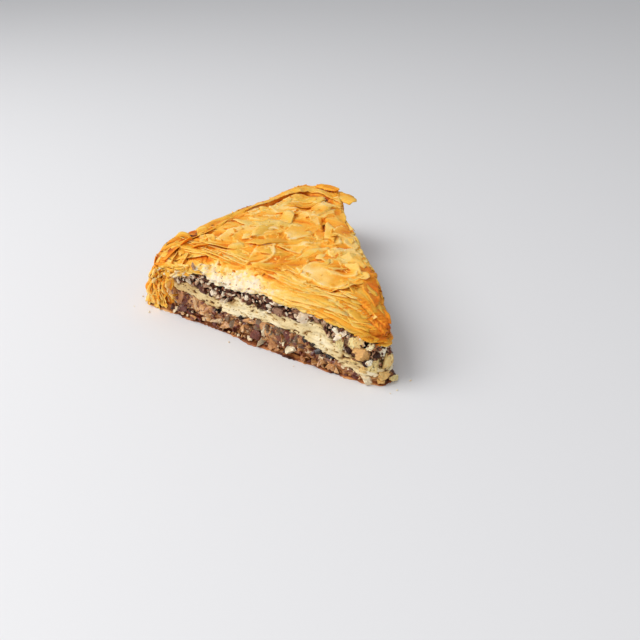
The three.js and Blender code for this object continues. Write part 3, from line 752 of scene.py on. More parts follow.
def inside_plan(x, y):
    """How far inside the cuts and the pan side a place lies, and the way out nearest to it."""
    across, ahead = x[..., None] - CUT_PLAN[:, 0], y[..., None] - CUT_PLAN[:, 1]
    nearest = np.hypot(across, ahead).argmin(axis=-1)
    outward = CUT_OUTWARD[nearest]
    across, ahead = x - CUT_PLAN[nearest, 0], y - CUT_PLAN[nearest, 1]
    return -(across * outward[..., 0] + ahead * outward[..., 1]), outward


def from_slant(x, y):
    return (FRONT * SIDE - SIDE * x - FRONT * y) / SLANT


def from_pan(x, y):
    """Distance inside the pan side, measured from the arc round the back corner."""
    radius = ROUNDING["back"]
    past_side = np.clip(y - SIDE + radius / math.tan(math.atan2(FRONT, SIDE) / 2), 0, None)
    return np.maximum(x, radius) - np.hypot(np.minimum(x - radius, 0), past_side)


def fold_distance(x, y):
    return np.minimum(from_pan(x, y), 0.75 * from_slant(x, y) + 0.25 * (SIDE - y) + 8)


def drape(x, y):
    """The soft folds that the sheets lie in, longer from the back to the front than across."""
    along, across = 0.79 * y - 0.61 * x, 0.61 * y + 0.79 * x
    across = across + 2.2 * unevenness(along, across, 13, 55)
    return 0.75 * unevenness(across, 0.45 * along, 7.5, 56) + 0.2 * unevenness(across, 0.6 * along, 3.6, 57)


def crust_height(x, y):
    """The crust's top without its flakes."""
    at_front = nuts2_top(x, 0 * y) + CRUST_EDGE
    dome = mixed(CRUST_TOP + 0.6 * ripple(x, y, 33, 0.9), at_front, edge_fall(y, 17))
    pan_side = mixed(3.2, 4.4, ease((y - 45) / 30)) * edge_fall(from_pan(x, y), 12)
    slant_side = 1.2 * edge_fall(from_slant(x, y), 7)
    tip = 7 * towards_tip(x) * ease(y / 12)
    start = ease((y - 0.5 * SIDE) / 12)
    growth = mixed(0.6, 1.5, ease((y - 0.73 * SIDE) / 22)) + 0.9 * ease((x - 18) / 10)
    fold = start * growth * hump((fold_distance(x, y) - 8.5) / 4.4)
    swell = 0.6 * unevenness(x, y, 14, 59) + 1.1 * drape(x, y)
    swell = swell * ease((y - 6) / 10) * ease((from_slant(x, y) - 1) / 7) * ease(x / 14)
    return dome - pan_side - slant_side - tip + fold + swell


def crust_flare(x, y, share):
    """How far the crust stands out further at a share of its height. It draws in at the tip and over the
    pan corner."""
    hanging = OVERHANG * ease((share - 0.7) / 0.15) * hump((x - 27) / 16, from_slant(x, y) / 6)
    return hanging - 2.2 * towards_tip(x) * share - 4.5 * np.exp(-(x**2 + y**2) / 90) * share


def beside(x, y, path):
    """Distance from each place to a path of straight pieces."""
    nearest = np.full(np.shape(x), np.inf)
    for (x0, y0), (x1, y1) in zip(path, path[1:]):
        dx, dy = x1 - x0, y1 - y0
        share = np.clip(((x - x0) * dx + (y - y0) * dy) / (dx**2 + dy**2), 0, 1)
        nearest = np.minimum(nearest, np.hypot(x - mixed(x0, x1, share), y - mixed(y0, y1, share)))
    return nearest


def crevice(x, y):
    """1 in the gap in front of the fold round the back and in the one round the pointed leaf, both painted
    dark as shade.
    """
    wander = 0.9 * unevenness(x, y, 7, 60)
    behind = ease((y - 64) / 8) * hump(beside(x + wander, y - wander, FOLD_GAP) / 1.4)
    return np.maximum(behind, 0.6 * hump(beside(x, y, LEAF_GAP) / 0.6))


def on_fold(x, y):
    """1 on the smooth fold behind the gap, 0 elsewhere."""
    behind = np.maximum(ease((14 - x) / 2), ease((y - 98 + 0.35 * np.clip(x - 24, 0, None)) / 2))
    return ease((y - 58) / 8) * behind


def pan_corner(x, y):
    """1 over the crumpled corner between the front cut and the pan side, 0 away from it."""
    return hump(x / 17, np.clip(y - 4, 0, None) / 22)


def bareness(x, y):
    """1 on the pale patch over the front cut where the baked sheets have come away, 0 elsewhere."""
    past = np.hypot((x - 54) / np.where(x > 54, 27, 22), y / 11)
    past = past + 0.22 * unevenness(x, y, 5, 79) + 0.12 * unevenness(x, y, 1.6, 80)
    return ease(2.2 - 2.0 * past)


def bake_of(x, y):
    """How far the crust is baked at each place: pale over the front cut, deep at the tip and corners."""
    shade = 0.4 + 0.07 * ease((x - 88) / 34) + 0.08 * ease((17 - x) / 17)
    shade = shade + 0.04 * edge_fall(from_slant(x, y), 12) + 0.08 * unevenness(x, y, 19, 61)
    shade = shade + 0.06 * pan_corner(x, y)
    # Painted light and shade: the crests of the soft folds are paler and their hollows darker.
    margin = -0.16 * edge_fall(y, 26) * ease((132 - x) / 14) - 0.2 * drape(x, y) * ease((y - 8) / 10)
    margin = margin - 0.14 * hump((x - 77) / 12, y / 9)
    return np.clip((shade + margin) * (1 - bareness(x, y)), 0, 1)


def crust_grid():
    """Rows of points over the crust from the front to the back."""
    plan, outward = rounded_plan(front=0.5, slant=0.8, pan=2.9)
    left, right = plan[outward[:, 0] < -0.01], plan[outward[:, 0] > 0.01]
    left, right = left[np.argsort(left[:, 1])].T, right[np.argsort(right[:, 1])].T
    first, last = plan[:, 1].min(), plan[:, 1].max()
    depths = np.concatenate([
        first + np.array([0, 0.04, 0.12]), np.arange(first + 0.25, FRONT_SLOPE, 0.27),
        np.arange(FRONT_SLOPE, last - 0.4, CRUST_SPACING), [last - 0.12],
    ])
    rows = []
    for y in depths:
        x0, x1 = np.interp(y, left[1], left[0]), np.interp(y, right[1], right[0])
        x = np.linspace(x0, x1, max(4, round((x1 - x0) / CRUST_SPACING)))
        rows.append(np.column_stack([x, np.full(len(x), y)]))
    return rows


def zipped(rows):
    """Triangles between rows whose numbers of points differ."""
    faces = []
    start = 0
    for near, far in zip(rows, rows[1:]):
        i, j, after = 0, 0, start + len(near)
        while i < len(near) - 1 or j < len(far) - 1:
            if j == len(far) - 1 or (i < len(near) - 1 and near[i + 1, 0] < far[j + 1, 0]):
                faces.append((start + i, start + i + 1, after + j))
                i += 1
            else:
                faces.append((start + i, after + j + 1, after + j))
                j += 1
        start = after
    return np.array(faces)


def rim_of(rows):
    """The numbers of the outer points, counter-clockwise from the front left."""
    starts = np.cumsum([0] + [len(row) for row in rows])
    firsts, lasts = starts[:-1], starts[1:] - 1
    front = np.arange(firsts[0], lasts[0])
    back = np.arange(lasts[-1], firsts[-1], -1)
    return np.concatenate([front, lasts[:-1], back, firsts[:0:-1]])


def torn_outline(rng, corners=None):
    """How far the torn edge of a sheet lies from its middle, as a function of the direction: a shape of
    a few corners with nearly straight tears between them."""
    corners = corners or rng.integers(4, 8)
    at = (np.arange(corners) + rng.uniform(-0.3, 0.3, corners)) * 2 * math.pi / corners
    at = np.sort(at - at[0])
    far = rng.uniform(0.68, 1.2, corners)
    phase, lobes = rng.uniform(0, 2 * math.pi), rng.integers(3, 7)

    def reach(angle):
        turn = np.mod(angle - phase, 2 * math.pi)
        i = np.searchsorted(at, turn, side="right") - 1
        j = (i + 1) % corners
        span = np.mod(at[j] - at[i], 2 * math.pi)
        beyond = turn - at[i]
        straight = far[i] * far[j] * np.sin(span) / (far[i] * np.sin(beyond) + far[j] * np.sin(span - beyond))
        return mixed(straight, 0.92 + 0.2 * np.sin(lobes * angle + phase), 0.12)

    return reach


def plates(rng, pitch, size=1.0):
    """Places over the crust for torn sheets, each with the heading, length and width it has there and how
    lively it lies."""
    for y in np.arange(3.0, SIDE, pitch):
        for x in np.arange(1.0, FRONT, pitch):
            px, py = x + rng.uniform(-0.6, 0.6) * pitch, y + rng.uniform(-0.6, 0.6) * pitch
            scale = size
            if px < 4 or inside_plan(np.array(px), np.array(py))[0] < 1.5:
                continue
            if py < 17:  # along the front cut
                heading, spread, lengths, widths, lively, scale = 0.03, 0.08, (18, 36), (3.5, 6), 0.3, 1.0
            elif px < 20 or fold_distance(px, py) < 15 and py > 80:  # on the fold
                heading = math.pi / 2 if px < 20 else -0.75
                spread, lengths, widths, lively = 0.2, (14, 28), (5, 8), 0.6
            elif from_slant(px, py) < 8:
                heading, spread, lengths, widths, lively = -0.74, 0.35, (10, 20), (5, 9), 0.9
            else:
                heading, spread, lengths, widths, lively = rng.choice((0.7, 2.3)), 0.5, (11, 22), (6, 11), 1.0
            heading += rng.normal(0, spread)
            yield px, py, heading, scale * rng.uniform(*lengths), scale * rng.uniform(*widths), lively


def laid_over(x, y, rng):
    """How high the torn plates lie over the crust at each place, and how they change its colour: a random
    tone for each plate, painted shade where they lie low and painted highlight on their upturned edges and
    crests.
    """
    rise = 0.06 * unevenness(x, y, 2.4, 62) + 0.25 * creases(x, y, 8.0, 63) - 0.7
    tint = np.full(len(x), 0.12)
    for px, py, heading, length, width, lively in plates(rng, 7.6, 1.6):
        offset, lean_u, lean_v = rng.uniform(-0.3, 0.8), rng.uniform(-1.0, 1.0), rng.uniform(-1.1, 1.1)
        shade, seed = rng.normal(0, 0.1), rng.integers(1000)
        near = np.flatnonzero(np.hypot(x - px, y - py) < 0.62 * length)
        at = x[near], y[near]
        dx, dy = at[0] - px, at[1] - py
        u = (math.cos(heading) * dx + math.sin(heading) * dy) / (length / 2)
        v = (math.cos(heading) * dy - math.sin(heading) * dx) / (width / 2)
        ragged = 0.05 * unevenness(*at, 1.3, seed) + 0.08 * unevenness(*at, 3.4, seed)
        reach = np.hypot(u, v) / torn_outline(rng)(np.arctan2(v, u)) + ragged
        waves = np.sin(rng.uniform(1.5, 3.5) * v + rng.uniform(0, 6) + 0.7 * u)
        crumple = 0.2 * creases(*at, 8.0, seed) + 0.3 * waves
        lift = lively * (offset + 0.5 * lean_u * u + 0.6 * lean_v * v + 0.35 * reach**3 + crumple)
        over = (reach < 1) & (lift > rise[near])
        rise[near[over]] = lift[over]
        # Painted light and shade: each plate's random tone, paler at its upturned rim and crumple crests, and
        # darker the lower the surface lies.
        tint[near[over]] = shade - 0.12 * ease((reach[over] - 0.8) / 0.2) - 0.16 * crumple[over]
    return rise, tint - 0.2 * (rise - 0.8)


def terraced(x, y, z):
    """Turns the front slope into the edges of the sheets that end there, gives each sheet its own tone and
    paints shade along the foot of each step.
    """
    wander = 2.4 * unevenness(x, 2.2 * y, 26, 64) + 0.9 * unevenness(x, y, 6, 65)
    wander = wander + 0.3 * unevenness(x, y, 2.2, 70)
    level = z / TERRACE + wander
    number = np.floor(level)
    flat = number + ease((level - number) * 4 - 1.5)
    share = ease((18 - y) / 4) * (1 - 0.85 * hump((x - 61) / 27, (y - 1) / 6))
    # Painted shade along the foot of each step.
    below = np.clip(1 - np.abs(level - number - 0.42) / 0.14, 0, 1)
    sheet_shade = 0.06 * np.sin(12.9 * number) + 0.08 * unevenness(x, 9 * number, 12, 67)
    return mixed(z, (flat - wander) * TERRACE, share), share * (sheet_shade + 0.16 * below)


rows = crust_grid()
x, y = np.concatenate(rows).T
moved = []
for row in rows:  # out to where the crust hangs over, and in where it draws in
    depth, outward = inside_plan(*row.T)
    moved.append(row + outward * (crust_flare(*row.T, 1.0) * (1 - ease(depth / 12)))[:, None])
top = np.concatenate(moved)
rise, tint = laid_over(x, y, np.random.default_rng(53))
gap, corner, bare = crevice(x, y), pan_corner(x, y), bareness(x, y)
crumpled = corner * (creases(x, 0.6 * y, 5.5, 77) + 0.4 * creases(x, y, 2.4, 78))
crumbly = bare * (unevenness(x, y, 1.5, 58) + 0.6 * unevenness(x, y, 0.8, 76))
smooth_margin = (ease(y / 6) * 0.75 + 0.25) * (1 - 0.7 * on_fold(x, y))
z, terrace_tone_and_shade = terraced(x, y, crust_height(*top.T) + rise * smooth_margin * (1 - 0.6 * gap) - 2.8 * gap)
z = z + 1.3 * crumpled - 1.8 * corner + 0.45 * crumbly
tint = tint * ease(y / 12) * (1 - 0.8 * bare)
bake = np.clip(bake_of(x, y) + tint + terrace_tone_and_shade, 0.12 * (1 - bare), 0.62)
# Painted shade: darker in the gaps, in the valleys of the crumpled corner and in the dips of the bare patch,
# and paler on the corner's ridges.
bake = bake + 0.6 * gap - 0.3 * crumpled - 0.08 * np.minimum(crumbly, 0)

rim = rim_of(rows)
plain, edge_z = np.column_stack([x, y])[rim], z[rim]
outward = way_out(plain)
panward = np.clip(-outward[:, 0], 0, 1)
around = np.cumsum(np.linalg.norm(plain - np.roll(plain, 1, axis=0), axis=1))
past_fold = ease((plain[:, 0] - WRAP - 0.5) / 4.5)  # 0 on the pan side, where the crust comes down
base = bottom_top(*plain.T)
low = mixed(base + 0.1, np.minimum(nuts2_top(*plain.T) + 0.15, edge_z - 0.4), past_fold)
bare, baked = bareness(*plain.T), mixed(bake_of(*plain.T), 0.5, 0.6 * panward)
rings, bakes = [], []
for share in np.linspace(0, 1, WALL_LEVELS, endpoint=False):
    wall_z = mixed(low, edge_z, share)
    number = np.floor(wall_z / WALL_SHEET + 0.8 * unevenness(around, wall_z, 15, 66))
    ledges = 0.6 * unevenness(around, 5.1 * number, 7.0, 67)
    ledges = ledges + 0.35 * unevenness(around, 3.3 * number, 1.6, 68)
    u, v = around + 0.8 * wall_z, wall_z - 0.35 * around
    folds = panward * (creases(u, v, 9.0, 69) + 0.4 * creases(u, v, 4.0, 70))
    crumbling = 0.9 * unevenness(around, wall_z, 1.7, 74) + 0.5 * unevenness(around, wall_z, 0.9, 58)
    inset = -1.4 * (1 - past_fold) * (1 - panward) * ease((1 - share) * 6) + bare * crumbling
    bulge = (1 - panward) * 1.2 * math.sin(math.pi * share) * (from_slant(*plain.T) < 6)
    leaning = panward * LEAN * (edge_z - wall_z) / LEAN_HEIGHT
    out = leaning + ledges * (1 - 0.7 * panward) + folds + inset + bulge - 0.4 * (share == 0)
    out = out + crust_flare(*plain.T, (wall_z - base) / (edge_z - base))
    rings.append(np.column_stack([plain + outward * out[:, None], wall_z]))
    shade = 0.16 * unevenness(around, 4.7 * number, 5.0, 75) + 0.1 * np.sin(9.7 * number)
    # Painted shade: the pan side's folds paler on their crests and darker in their creases, and the front
    # face behind the nested folds darker.
    shade = (shade * (1 - 0.5 * panward) + 0.08 - 0.12 * folds) * (1 - 0.8 * bare)
    bakes.append(baked + (shade + 0.15 * (1 - past_fold) * (1 - panward)))

hub = [[FRONT / 3, SIDE / 3, NUTS_2_MEAN + 1.5]]  # the middle of the crust's underside
hub_number = len(top) + WALL_LEVELS * len(rim)
index = np.vstack([np.arange(len(top), hub_number).reshape(WALL_LEVELS, len(rim)), rim])
under = np.column_stack([np.full(len(rim), hub_number), np.roll(index[0], -1), index[0]])
crust_points = np.concatenate([np.column_stack([top, z]), np.concatenate(rings), hub])
crust_faces = np.concatenate([zipped(rows), side_faces(index), under])
crust_marks = np.concatenate([bake, np.concatenate(bakes), [0.5]])[:, None]
crust_body = (crust_points, crust_faces, crust_marks)
make_piece("crust_sheets", [crust_body], golden_look, "top_crust", "golden_pastry")


# ---- Flakes of the crust ----------------------------------------------------------------------------
# The uppermost sheets have shattered into loose leaves, each tucked under its neighbours at one side and
# lifted or curled at the other. They are single sheets, under a third of a millimetre thick.

SHEET_THICKNESS = 0.26
SIDEWAYS = math.pi / 2
POINTED_LEAF = ((69.8, 52.9), (49.8, 72.3))


def over_crust(a, b):
    """Place on top of the crust and the way up from it. Past the edge it turns down the side."""
    depth, outward = inside_plan(a, b)
    rim = 0.6 - 3.2 * np.clip(-outward[..., 0], 0, 1) + crust_flare(a, b, 1.0)
    past = np.clip(-depth - rim, 0, None)
    a, b = a - 0.85 * past * outward[..., 0], b - 0.85 * past * outward[..., 1]
    z = crust_height(a, b) - 0.9 * past + 0.25
    slope_x = crust_height(a + 0.5, b) - crust_height(a - 0.5, b)
    slope_y = crust_height(a, b + 0.5) - crust_height(a, b - 0.5)
    turned = np.clip(past / 1.5, 0, 1.5)
    up = np.stack([
        turned * outward[..., 0] - slope_x, turned * outward[..., 1] - slope_y, np.ones_like(z),
    ], axis=-1)
    return np.stack([a, b, z], axis=-1), up / np.linalg.norm(up, axis=-1, keepdims=True)


def on_side(a, b):
    """Place on the side of the piece at a distance round it and a height, and the way out."""
    plan, outward = cut_place(a)
    lean = (1.6 - LEAN * b / LEAN_HEIGHT) * np.clip(-outward[..., 0], 0, 1)
    lean = lean + crust_flare(plan[..., 0], plan[..., 1], b / CRUST_TOP)
    place = np.concatenate([plan + outward * lean[..., None], b[..., None]], axis=-1)
    return place, np.concatenate([outward, 0 * b[..., None]], axis=-1)


def leaf(
    rng, lay, at, size, heading, lift, towards, cup, waves, bake, sunk=0.9, grain=1.15, corners=None,
    curl=0.0,
):
    """A torn leaf of pastry on the surface `lay`, `size` long and wide. It is sunk at one side and lifted
    at the other, towards the turn `towards` from its heading. `cup` raises its long edges, `waves` folds it
    along, `grain` is the distance between its points and `curl` the radius its far end rolls up with."""
    length, width = size
    spokes = int(np.clip(math.pi * (length + width) / 2 / grain, 12, 64))
    rings = int(np.clip(width / 2 / grain + 1, 3, 8))
    share = np.linspace(0, 1, rings + 1)[1:, None]
    angle = np.linspace(0, 2 * math.pi, spokes, endpoint=False)[None, :] + rng.uniform(0, 1)
    seed = int(rng.integers(10000))
    nicks = 0.06 * unevenness(5.0 * np.cos(angle), 5.0 * np.sin(angle), 0.9, seed)
    nicks = nicks + rng.uniform(-0.03, 0.03, (1, spokes))
    reach = torn_outline(rng, corners)(angle) * (1 + nicks)
    un = np.concatenate([[0.0], (share * reach * np.cos(angle)).ravel()])
    vn = np.concatenate([[0.0], (share * reach * np.sin(angle)).ravel()])
    u, v = un * length / 2, vn * width / 2
    side = np.clip((un * math.cos(towards) + vn * math.sin(towards)) / 2 + 0.5, 0, 1.2)
    folded = np.sin(rng.uniform(1.6, 3.4) * vn + rng.uniform(0, 6) + rng.uniform(-1.2, 1.2) * un)
    crumple = 0.3 * creases(u + 40, v + 40, 6.5, seed) + 0.1 * unevenness(u, v, 2.4, seed)
    height = lift * side**1.8 - sunk * np.clip(1 - side, 0, 1) ** 1.6 + cup * vn**2 + waves * folded + crumple
    if curl:
        start = 0.05 * length
        turn = np.clip((u - start) / curl, 0, 4.4)
        height = np.where(u > start, height + curl * (1 - np.cos(turn)), height)
        u = np.where(u > start, start + curl * np.sin(turn) * (1 - 0.04 * turn), u)
    across, forward = math.cos(heading), math.sin(heading)
    place, up = lay(at[0] + across * u - forward * v, at[1] + forward * u + across * v)
    points = place + up * height[:, None]
    points[:, 2] = np.clip(points[:, 2], 0.35, None)
    first = np.arange(1, spokes + 1)
    faces = [np.column_stack([np.zeros(spokes, int), first, np.roll(first, -1)])]
    for ring in range(rings - 1):
        inner = first + ring * spokes
        outer = inner + spokes
        faces.append(np.column_stack([inner, outer, np.roll(outer, -1)]))
        faces.append(np.column_stack([inner, np.roll(outer, -1), np.roll(inner, -1)]))
    edge = np.concatenate([[0.0], np.repeat(share.ravel(), spokes)])
    # Painted light and shade: the rim and the lifted side are paler, the side sunk under the neighbours
    # darker, and the crests of the folds and crumples paler than their hollows.
    marks = bake + 0.05 * unevenness(u, v, 3.0, seed + 1) - 0.07 * edge**4
    marks = marks + 0.22 * (1 - side) ** 2 - 0.1 * side**2 - 0.2 * folded * waves - 0.1 * crumple
    return points, np.concatenate(faces), np.clip(marks, 0.2, 1)[:, None]


def smoothed(path, times):
    """A path whose bends are rounded off, with its ends where they were."""
    for _ in range(times):
        path[1:-1] = (path[:-2] + 2 * path[1:-1] + path[2:]) / 4
    return path


def sheet_faces(rows, columns):
    """Triangles of a sheet of rows of points."""
    index = np.arange(rows * columns).reshape(rows, columns)
    a, b, c, d = index[:-1, :-1], index[1:, :-1], index[1:, 1:], index[:-1, 1:]
    return np.stack([a, b, c, a, c, d], axis=-1).reshape(-1, 3)


def ribbon(rng, lay, knots, width, near_lift, far_lift, arch, bake, spacing=0.9, crushed=1.0, rim=0.0):
    """A long sheet that follows a path over the surface `lay`, with its two edges lifted and its middle
    arched. The near edge is the one on the right of the way it runs. `crushed` crumples it and `rim`
    darkens its edges."""
    knots = np.array(knots, float)
    length = walked(knots)[-1]
    steps = np.arange(0, length, spacing)
    path = smoothed(along(knots, steps), 30)
    ahead = np.gradient(path, axis=0)
    left = np.column_stack([-ahead[:, 1], ahead[:, 0]])
    left /= np.linalg.norm(left, axis=1, keepdims=True)
    seed = int(rng.integers(10000))
    s, t = np.meshgrid(steps, np.linspace(-1, 1, 9), indexing="ij")
    ragged = unevenness(s, 3 * t, 5.0, seed) + 0.5 * unevenness(s, 5 * t, 1.8, seed + 1)
    ends = np.sin(math.pi * np.clip(s / length, 0.02, 0.98)) ** 0.4
    out = t * width / 2 * ends + ragged * np.abs(t) ** 3
    place, up = lay(*(path[:, axis][:, None] + left[:, axis][:, None] * out for axis in (0, 1)))
    folds = crushed * (0.4 * creases(s, 4 * t, 7.0, seed + 2) + 0.15 * unevenness(s, 6 * t, 2.0, seed + 3))
    height = arch * (1 - t**2) + near_lift * np.clip(-t, 0, 1) ** 2 + far_lift * np.clip(t, 0, 1) ** 2
    height = height + folds
    points = (place + up * height[..., None]).reshape(-1, 3)
    points[:, 2] = np.clip(points[:, 2], 0.5, None)
    # Painted light and shade: the crests of the crumples are paler and their hollows darker, the edges a
    # little paler, and `rim` darkens edges that tuck under.
    marks = bake - 0.14 * folds + 0.07 * unevenness(s, 6 * t, 6.0, seed + 4)
    marks = marks - 0.08 * np.abs(t) ** 6 + rim * t**2
    return points, sheet_faces(*s.shape), np.clip(marks, 0, 1).reshape(-1, 1)


def free_flat(height):
    """A flat place in the air for a leaf that hangs free past the edge."""
    def lay(a, b):
        return np.stack([a, b, height + 0 * a], axis=-1), np.broadcast_to([0.0, 0.0, 1.0], (*a.shape, 3))
    return lay


def crust_piece(name, bodies, thickness=SHEET_THICKNESS):
    """A piece of loose sheets, each with its thickness under it."""
    piece = make_piece(name, bodies, golden_look, "top_crust", "golden_pastry")
    sheet = piece.modifiers.new("sheet", "SOLIDIFY")
    sheet.thickness, sheet.offset = thickness * MM, -1.0


def bare_patch(x, y):
    return (x - 58) ** 2 / 1000 + y**2 / 110 < 1


rng = np.random.default_rng(7)
bodies = []
for x, y, heading, length, width, lively in plates(rng, 10.0, 1.35):
    if y < 17 or bare_patch(x, y) or on_fold(x, y) > 0.3 or beside(x, y, FOLD_GAP) < 0.35 * width + 1:
        continue
    if beside(x, y, POINTED_LEAF) < 6 or y > 70 and fold_distance(x, y) < 17:
        continue
    if y > 70:
        length = min(length, 2 * float(fold_distance(x, y)) - 24)
    bake = float(bake_of(x, y)) + rng.normal(0.0, 0.07)
    towards = rng.choice((0.0, SIDEWAYS, -SIDEWAYS, math.pi)) + rng.normal(0, 0.4)
    bodies.append(leaf(
        rng, over_crust, (x, y), (length, width), heading, lift=lively * rng.uniform(0.4, 1.8),
        towards=towards, cup=rng.uniform(-0.4, 0.6), waves=rng.uniform(0.4, 0.85), bake=bake, sunk=1.4,
    ))
crust_piece("top_leaves", bodies)

# Slivers that stand up between the larger leaves, some of them rolled.
rng = np.random.default_rng(43)
bodies = []
for x, y, heading, length, width, lively in plates(rng, 19.0, 0.9):
    if y < 19 or on_fold(x, y) > 0.3 or beside(x, y, FOLD_GAP) < 4:
        continue
    bake = float(bake_of(x, y)) + rng.normal(0.03, 0.06)
    curl = rng.uniform(1.6, 2.8) if rng.uniform() < 0.2 * lively else 0.0
    bodies.append(leaf(
        rng, over_crust, (x, y), (length, 0.8 * width), heading + rng.normal(0, 0.6),
        lift=0.3 + lively * rng.uniform(0.3, 1.5), towards=rng.choice((0.0, SIDEWAYS, -SIDEWAYS)),
        cup=rng.uniform(-0.2, 0.9), waves=0.25, bake=bake, sunk=1.1, grain=0.9, curl=curl,
    ))
crust_piece("small_leaves", bodies)

# Long sheets along the front cut, each with its front edge lying free over the next one.
rng = np.random.default_rng(61)
bodies = []
for y in np.arange(17.0, -0.6, -1.5):
    x, last = rng.uniform(4, 16), 127 - 1.1 * y
    while x < last - 9:
        length, width = min(rng.uniform(20, 42), last - x), rng.uniform(4.0, 7.0)
        middle = x + 0.5 * length
        if not (bare_patch(middle, y - 1) or bare_patch(middle + 0.3 * length, y - 1)):
            bake = float(bake_of(middle, y + 1)) + rng.normal(0.0, 0.08)
            bodies.append(leaf(
                rng, over_crust, (middle, y + 0.3 * width), (length, width), rng.normal(0.0, 0.05),
                lift=rng.uniform(0.1, 0.5), towards=-SIDEWAYS, cup=rng.uniform(-0.3, 0.3), waves=0.16,
                bake=bake, sunk=1.0, grain=1.0, corners=7,
            ))
        x += 0.62 * length
crust_piece("margin_strips", bodies)

# Torn ends of sheets over the corner between the front cut and the pan side.
rng = np.random.default_rng(47)
bodies = []
for _ in range(16):
    place = (rng.uniform(6, 24), rng.uniform(2, 30))
    heading = rng.choice((0.4, 1.2, 2.2)) + rng.normal(0, 0.4)
    bake = 0.42 + rng.normal(0, 0.17)
    bodies.append(leaf(
        rng, over_crust, place, (rng.uniform(7, 12), rng.uniform(4, 7)), heading, lift=rng.uniform(0.6, 1.6),
        towards=rng.choice((SIDEWAYS, -SIDEWAYS)), cup=rng.uniform(0.3, 1.4), waves=0.4, bake=bake, sunk=0.8,
        grain=0.75,
    ))
crust_piece("corner_leaves", bodies)

# Torn ends of the crust's lowest sheets that hang down over the nuts at the cuts.
rng = np.random.default_rng(49)
bodies = []
around, last = round_to(24), round_to(30, 104)
while around < last:
    (x, y), _ = cut_place(around)
    z = float(nuts2_top(x, y)) + CRUST_EDGE * rng.uniform(0.1, 0.9)
    bake = float(bake_of(x, y)) + rng.normal(0.04, 0.1)
    around += rng.uniform(1.2, 4.0)
    if bareness(x, y + 1) <= 0.2:
        bodies.append(leaf(
            rng, on_side, (around, z), (rng.uniform(5, 13), rng.uniform(1.3, 2.8)), rng.normal(0, 0.12),
            lift=rng.uniform(0.1, 0.8), towards=-SIDEWAYS, cup=0.0, waves=0.15, bake=bake, grain=0.7,
        ))
crust_piece("lower_edge_leaves", bodies)

# Leaves that stand out past the slanting cut in tiers.
rng = np.random.default_rng(19)
bodies = []
for share in np.arange(0.03, 0.96, 0.026):
    x = mixed(FRONT - 16, 14, share)
    y = SIDE * (FRONT - x) / FRONT
    inward = rng.uniform(-0.4, 2.6) - float(crust_flare(x, y, 1.0))
    bake = float(bake_of(x, y)) + rng.normal(-0.04, 0.08)
    bodies.append(leaf(
        rng, over_crust, (x - 0.67 * inward, y - 0.74 * inward), (rng.uniform(8, 15), rng.uniform(4, 7)),
        math.atan2(-SIDE, FRONT) + rng.normal(0, 0.3), lift=rng.uniform(-0.2, 0.9), towards=SIDEWAYS,
        cup=rng.uniform(-0.4, 0.4), waves=0.25, bake=bake,
    ))
crust_piece("edge_leaves", bodies)

# The large leaves that give the crust its face: a pointed one, a rolled cluster near the tip, and the
# square-ended one that sticks out at the back.
CHOSEN = (  # place, size, heading, lift, towards, cup, waves, bake, sunk, grain and number of corners
    ((60.0, 62.4), (30, 9), 2.37, 2.2, 0.0, -0.9, 0.2, 0.2, -1.2, 0.8, 4),
    ((73.5, 57.0), (10, 9), 0.5, 1.6, 0.8, 0.5, 0.3, 0.26, 0.6, 0.9, 4),
    ((62.0, 75.0), (15, 7), -0.8, 1.3, 1.5, 0.4, 0.3, 0.24, 0.8, 0.9),
    ((87.0, 38.0), (9, 8), 0.2, 2.0, 1.2, 1.4, 0.2, 0.12, 0.2, 0.8),
    ((96.0, 32.2), (15, 5.5), -0.12, 1.6, 1.2, 2.4, 0.2, 0.24, -0.6, 0.8),
    ((92.0, 37.0), (12, 6), 0.2, 1.5, 1.6, 1.3, 0.3, 0.3, 0.2, 0.8),
    ((100.8, 30.4), (8, 6), -0.6, 1.5, 0.3, 1.2, 0.2, 0.22, 0.2, 0.8),
    ((96.0, 46.0), (13, 7), -0.74, 0.9, 1.5, 0.3, 0.2, 0.3, 0.4, 0.9),
)
rng = np.random.default_rng(97)
bodies = [leaf(rng, over_crust, *row) for row in CHOSEN]
HANGING = (  # height, path, width, lift of the near and the far edge, arch and bake
    (29.0, ((26, 108.5), (36, 105.8), (45.5, 102.4)), 8.6, -0.5, 0.2, 0.4, 0.36),
    (31.0, ((16, 109), (23, 110.5), (31, 109)), 6.0, -0.8, -0.3, 0.2, 0.48),
)
bodies += [ribbon(rng, free_flat(height), *row) for height, *row in HANGING]
crust_piece("chosen_leaves", bodies, 0.32)

# The sheets that were folded over round the back: they stand up from the crust, with a dark gap where
# their free edges end. The first lies in front of the gap, the next on the ridge and the last outside.
BACK_SHEETS = (  # path, width, lift of the near and the far edge, arch and bake
    (((19, 60), (19, 74), (18, 86), (19, 92), (24, 94), (31, 92), (38, 87)), 7.5, -0.6, -0.3, 0.1, 0.34),
    (((9.4, 60), (8.6, 78), (8.2, 90), (11, 99), (16, 105), (24, 106), (33, 104.5), (41, 98)),
     8.4, 0.7, -0.5, 0.3, 0.36),
    (((4.5, 66), (4.5, 80), (4.8, 94), (7.5, 103), (13, 109), (21, 110.5), (30, 108.5)),
     6.5, -0.4, -0.7, -0.5, 0.46),
)
rng = np.random.default_rng(41)
crust_piece("back_fold", [ribbon(rng, over_crust, *row) for row in BACK_SHEETS], 0.45)


# ---- Folded pan side --------------------------------------------------------------------------------
# The crust's sheets were turned down between the filling and the pan. At the front cut their edges show
# as nested bends round the end of the filling; outside they are crumpled, browned and torn.

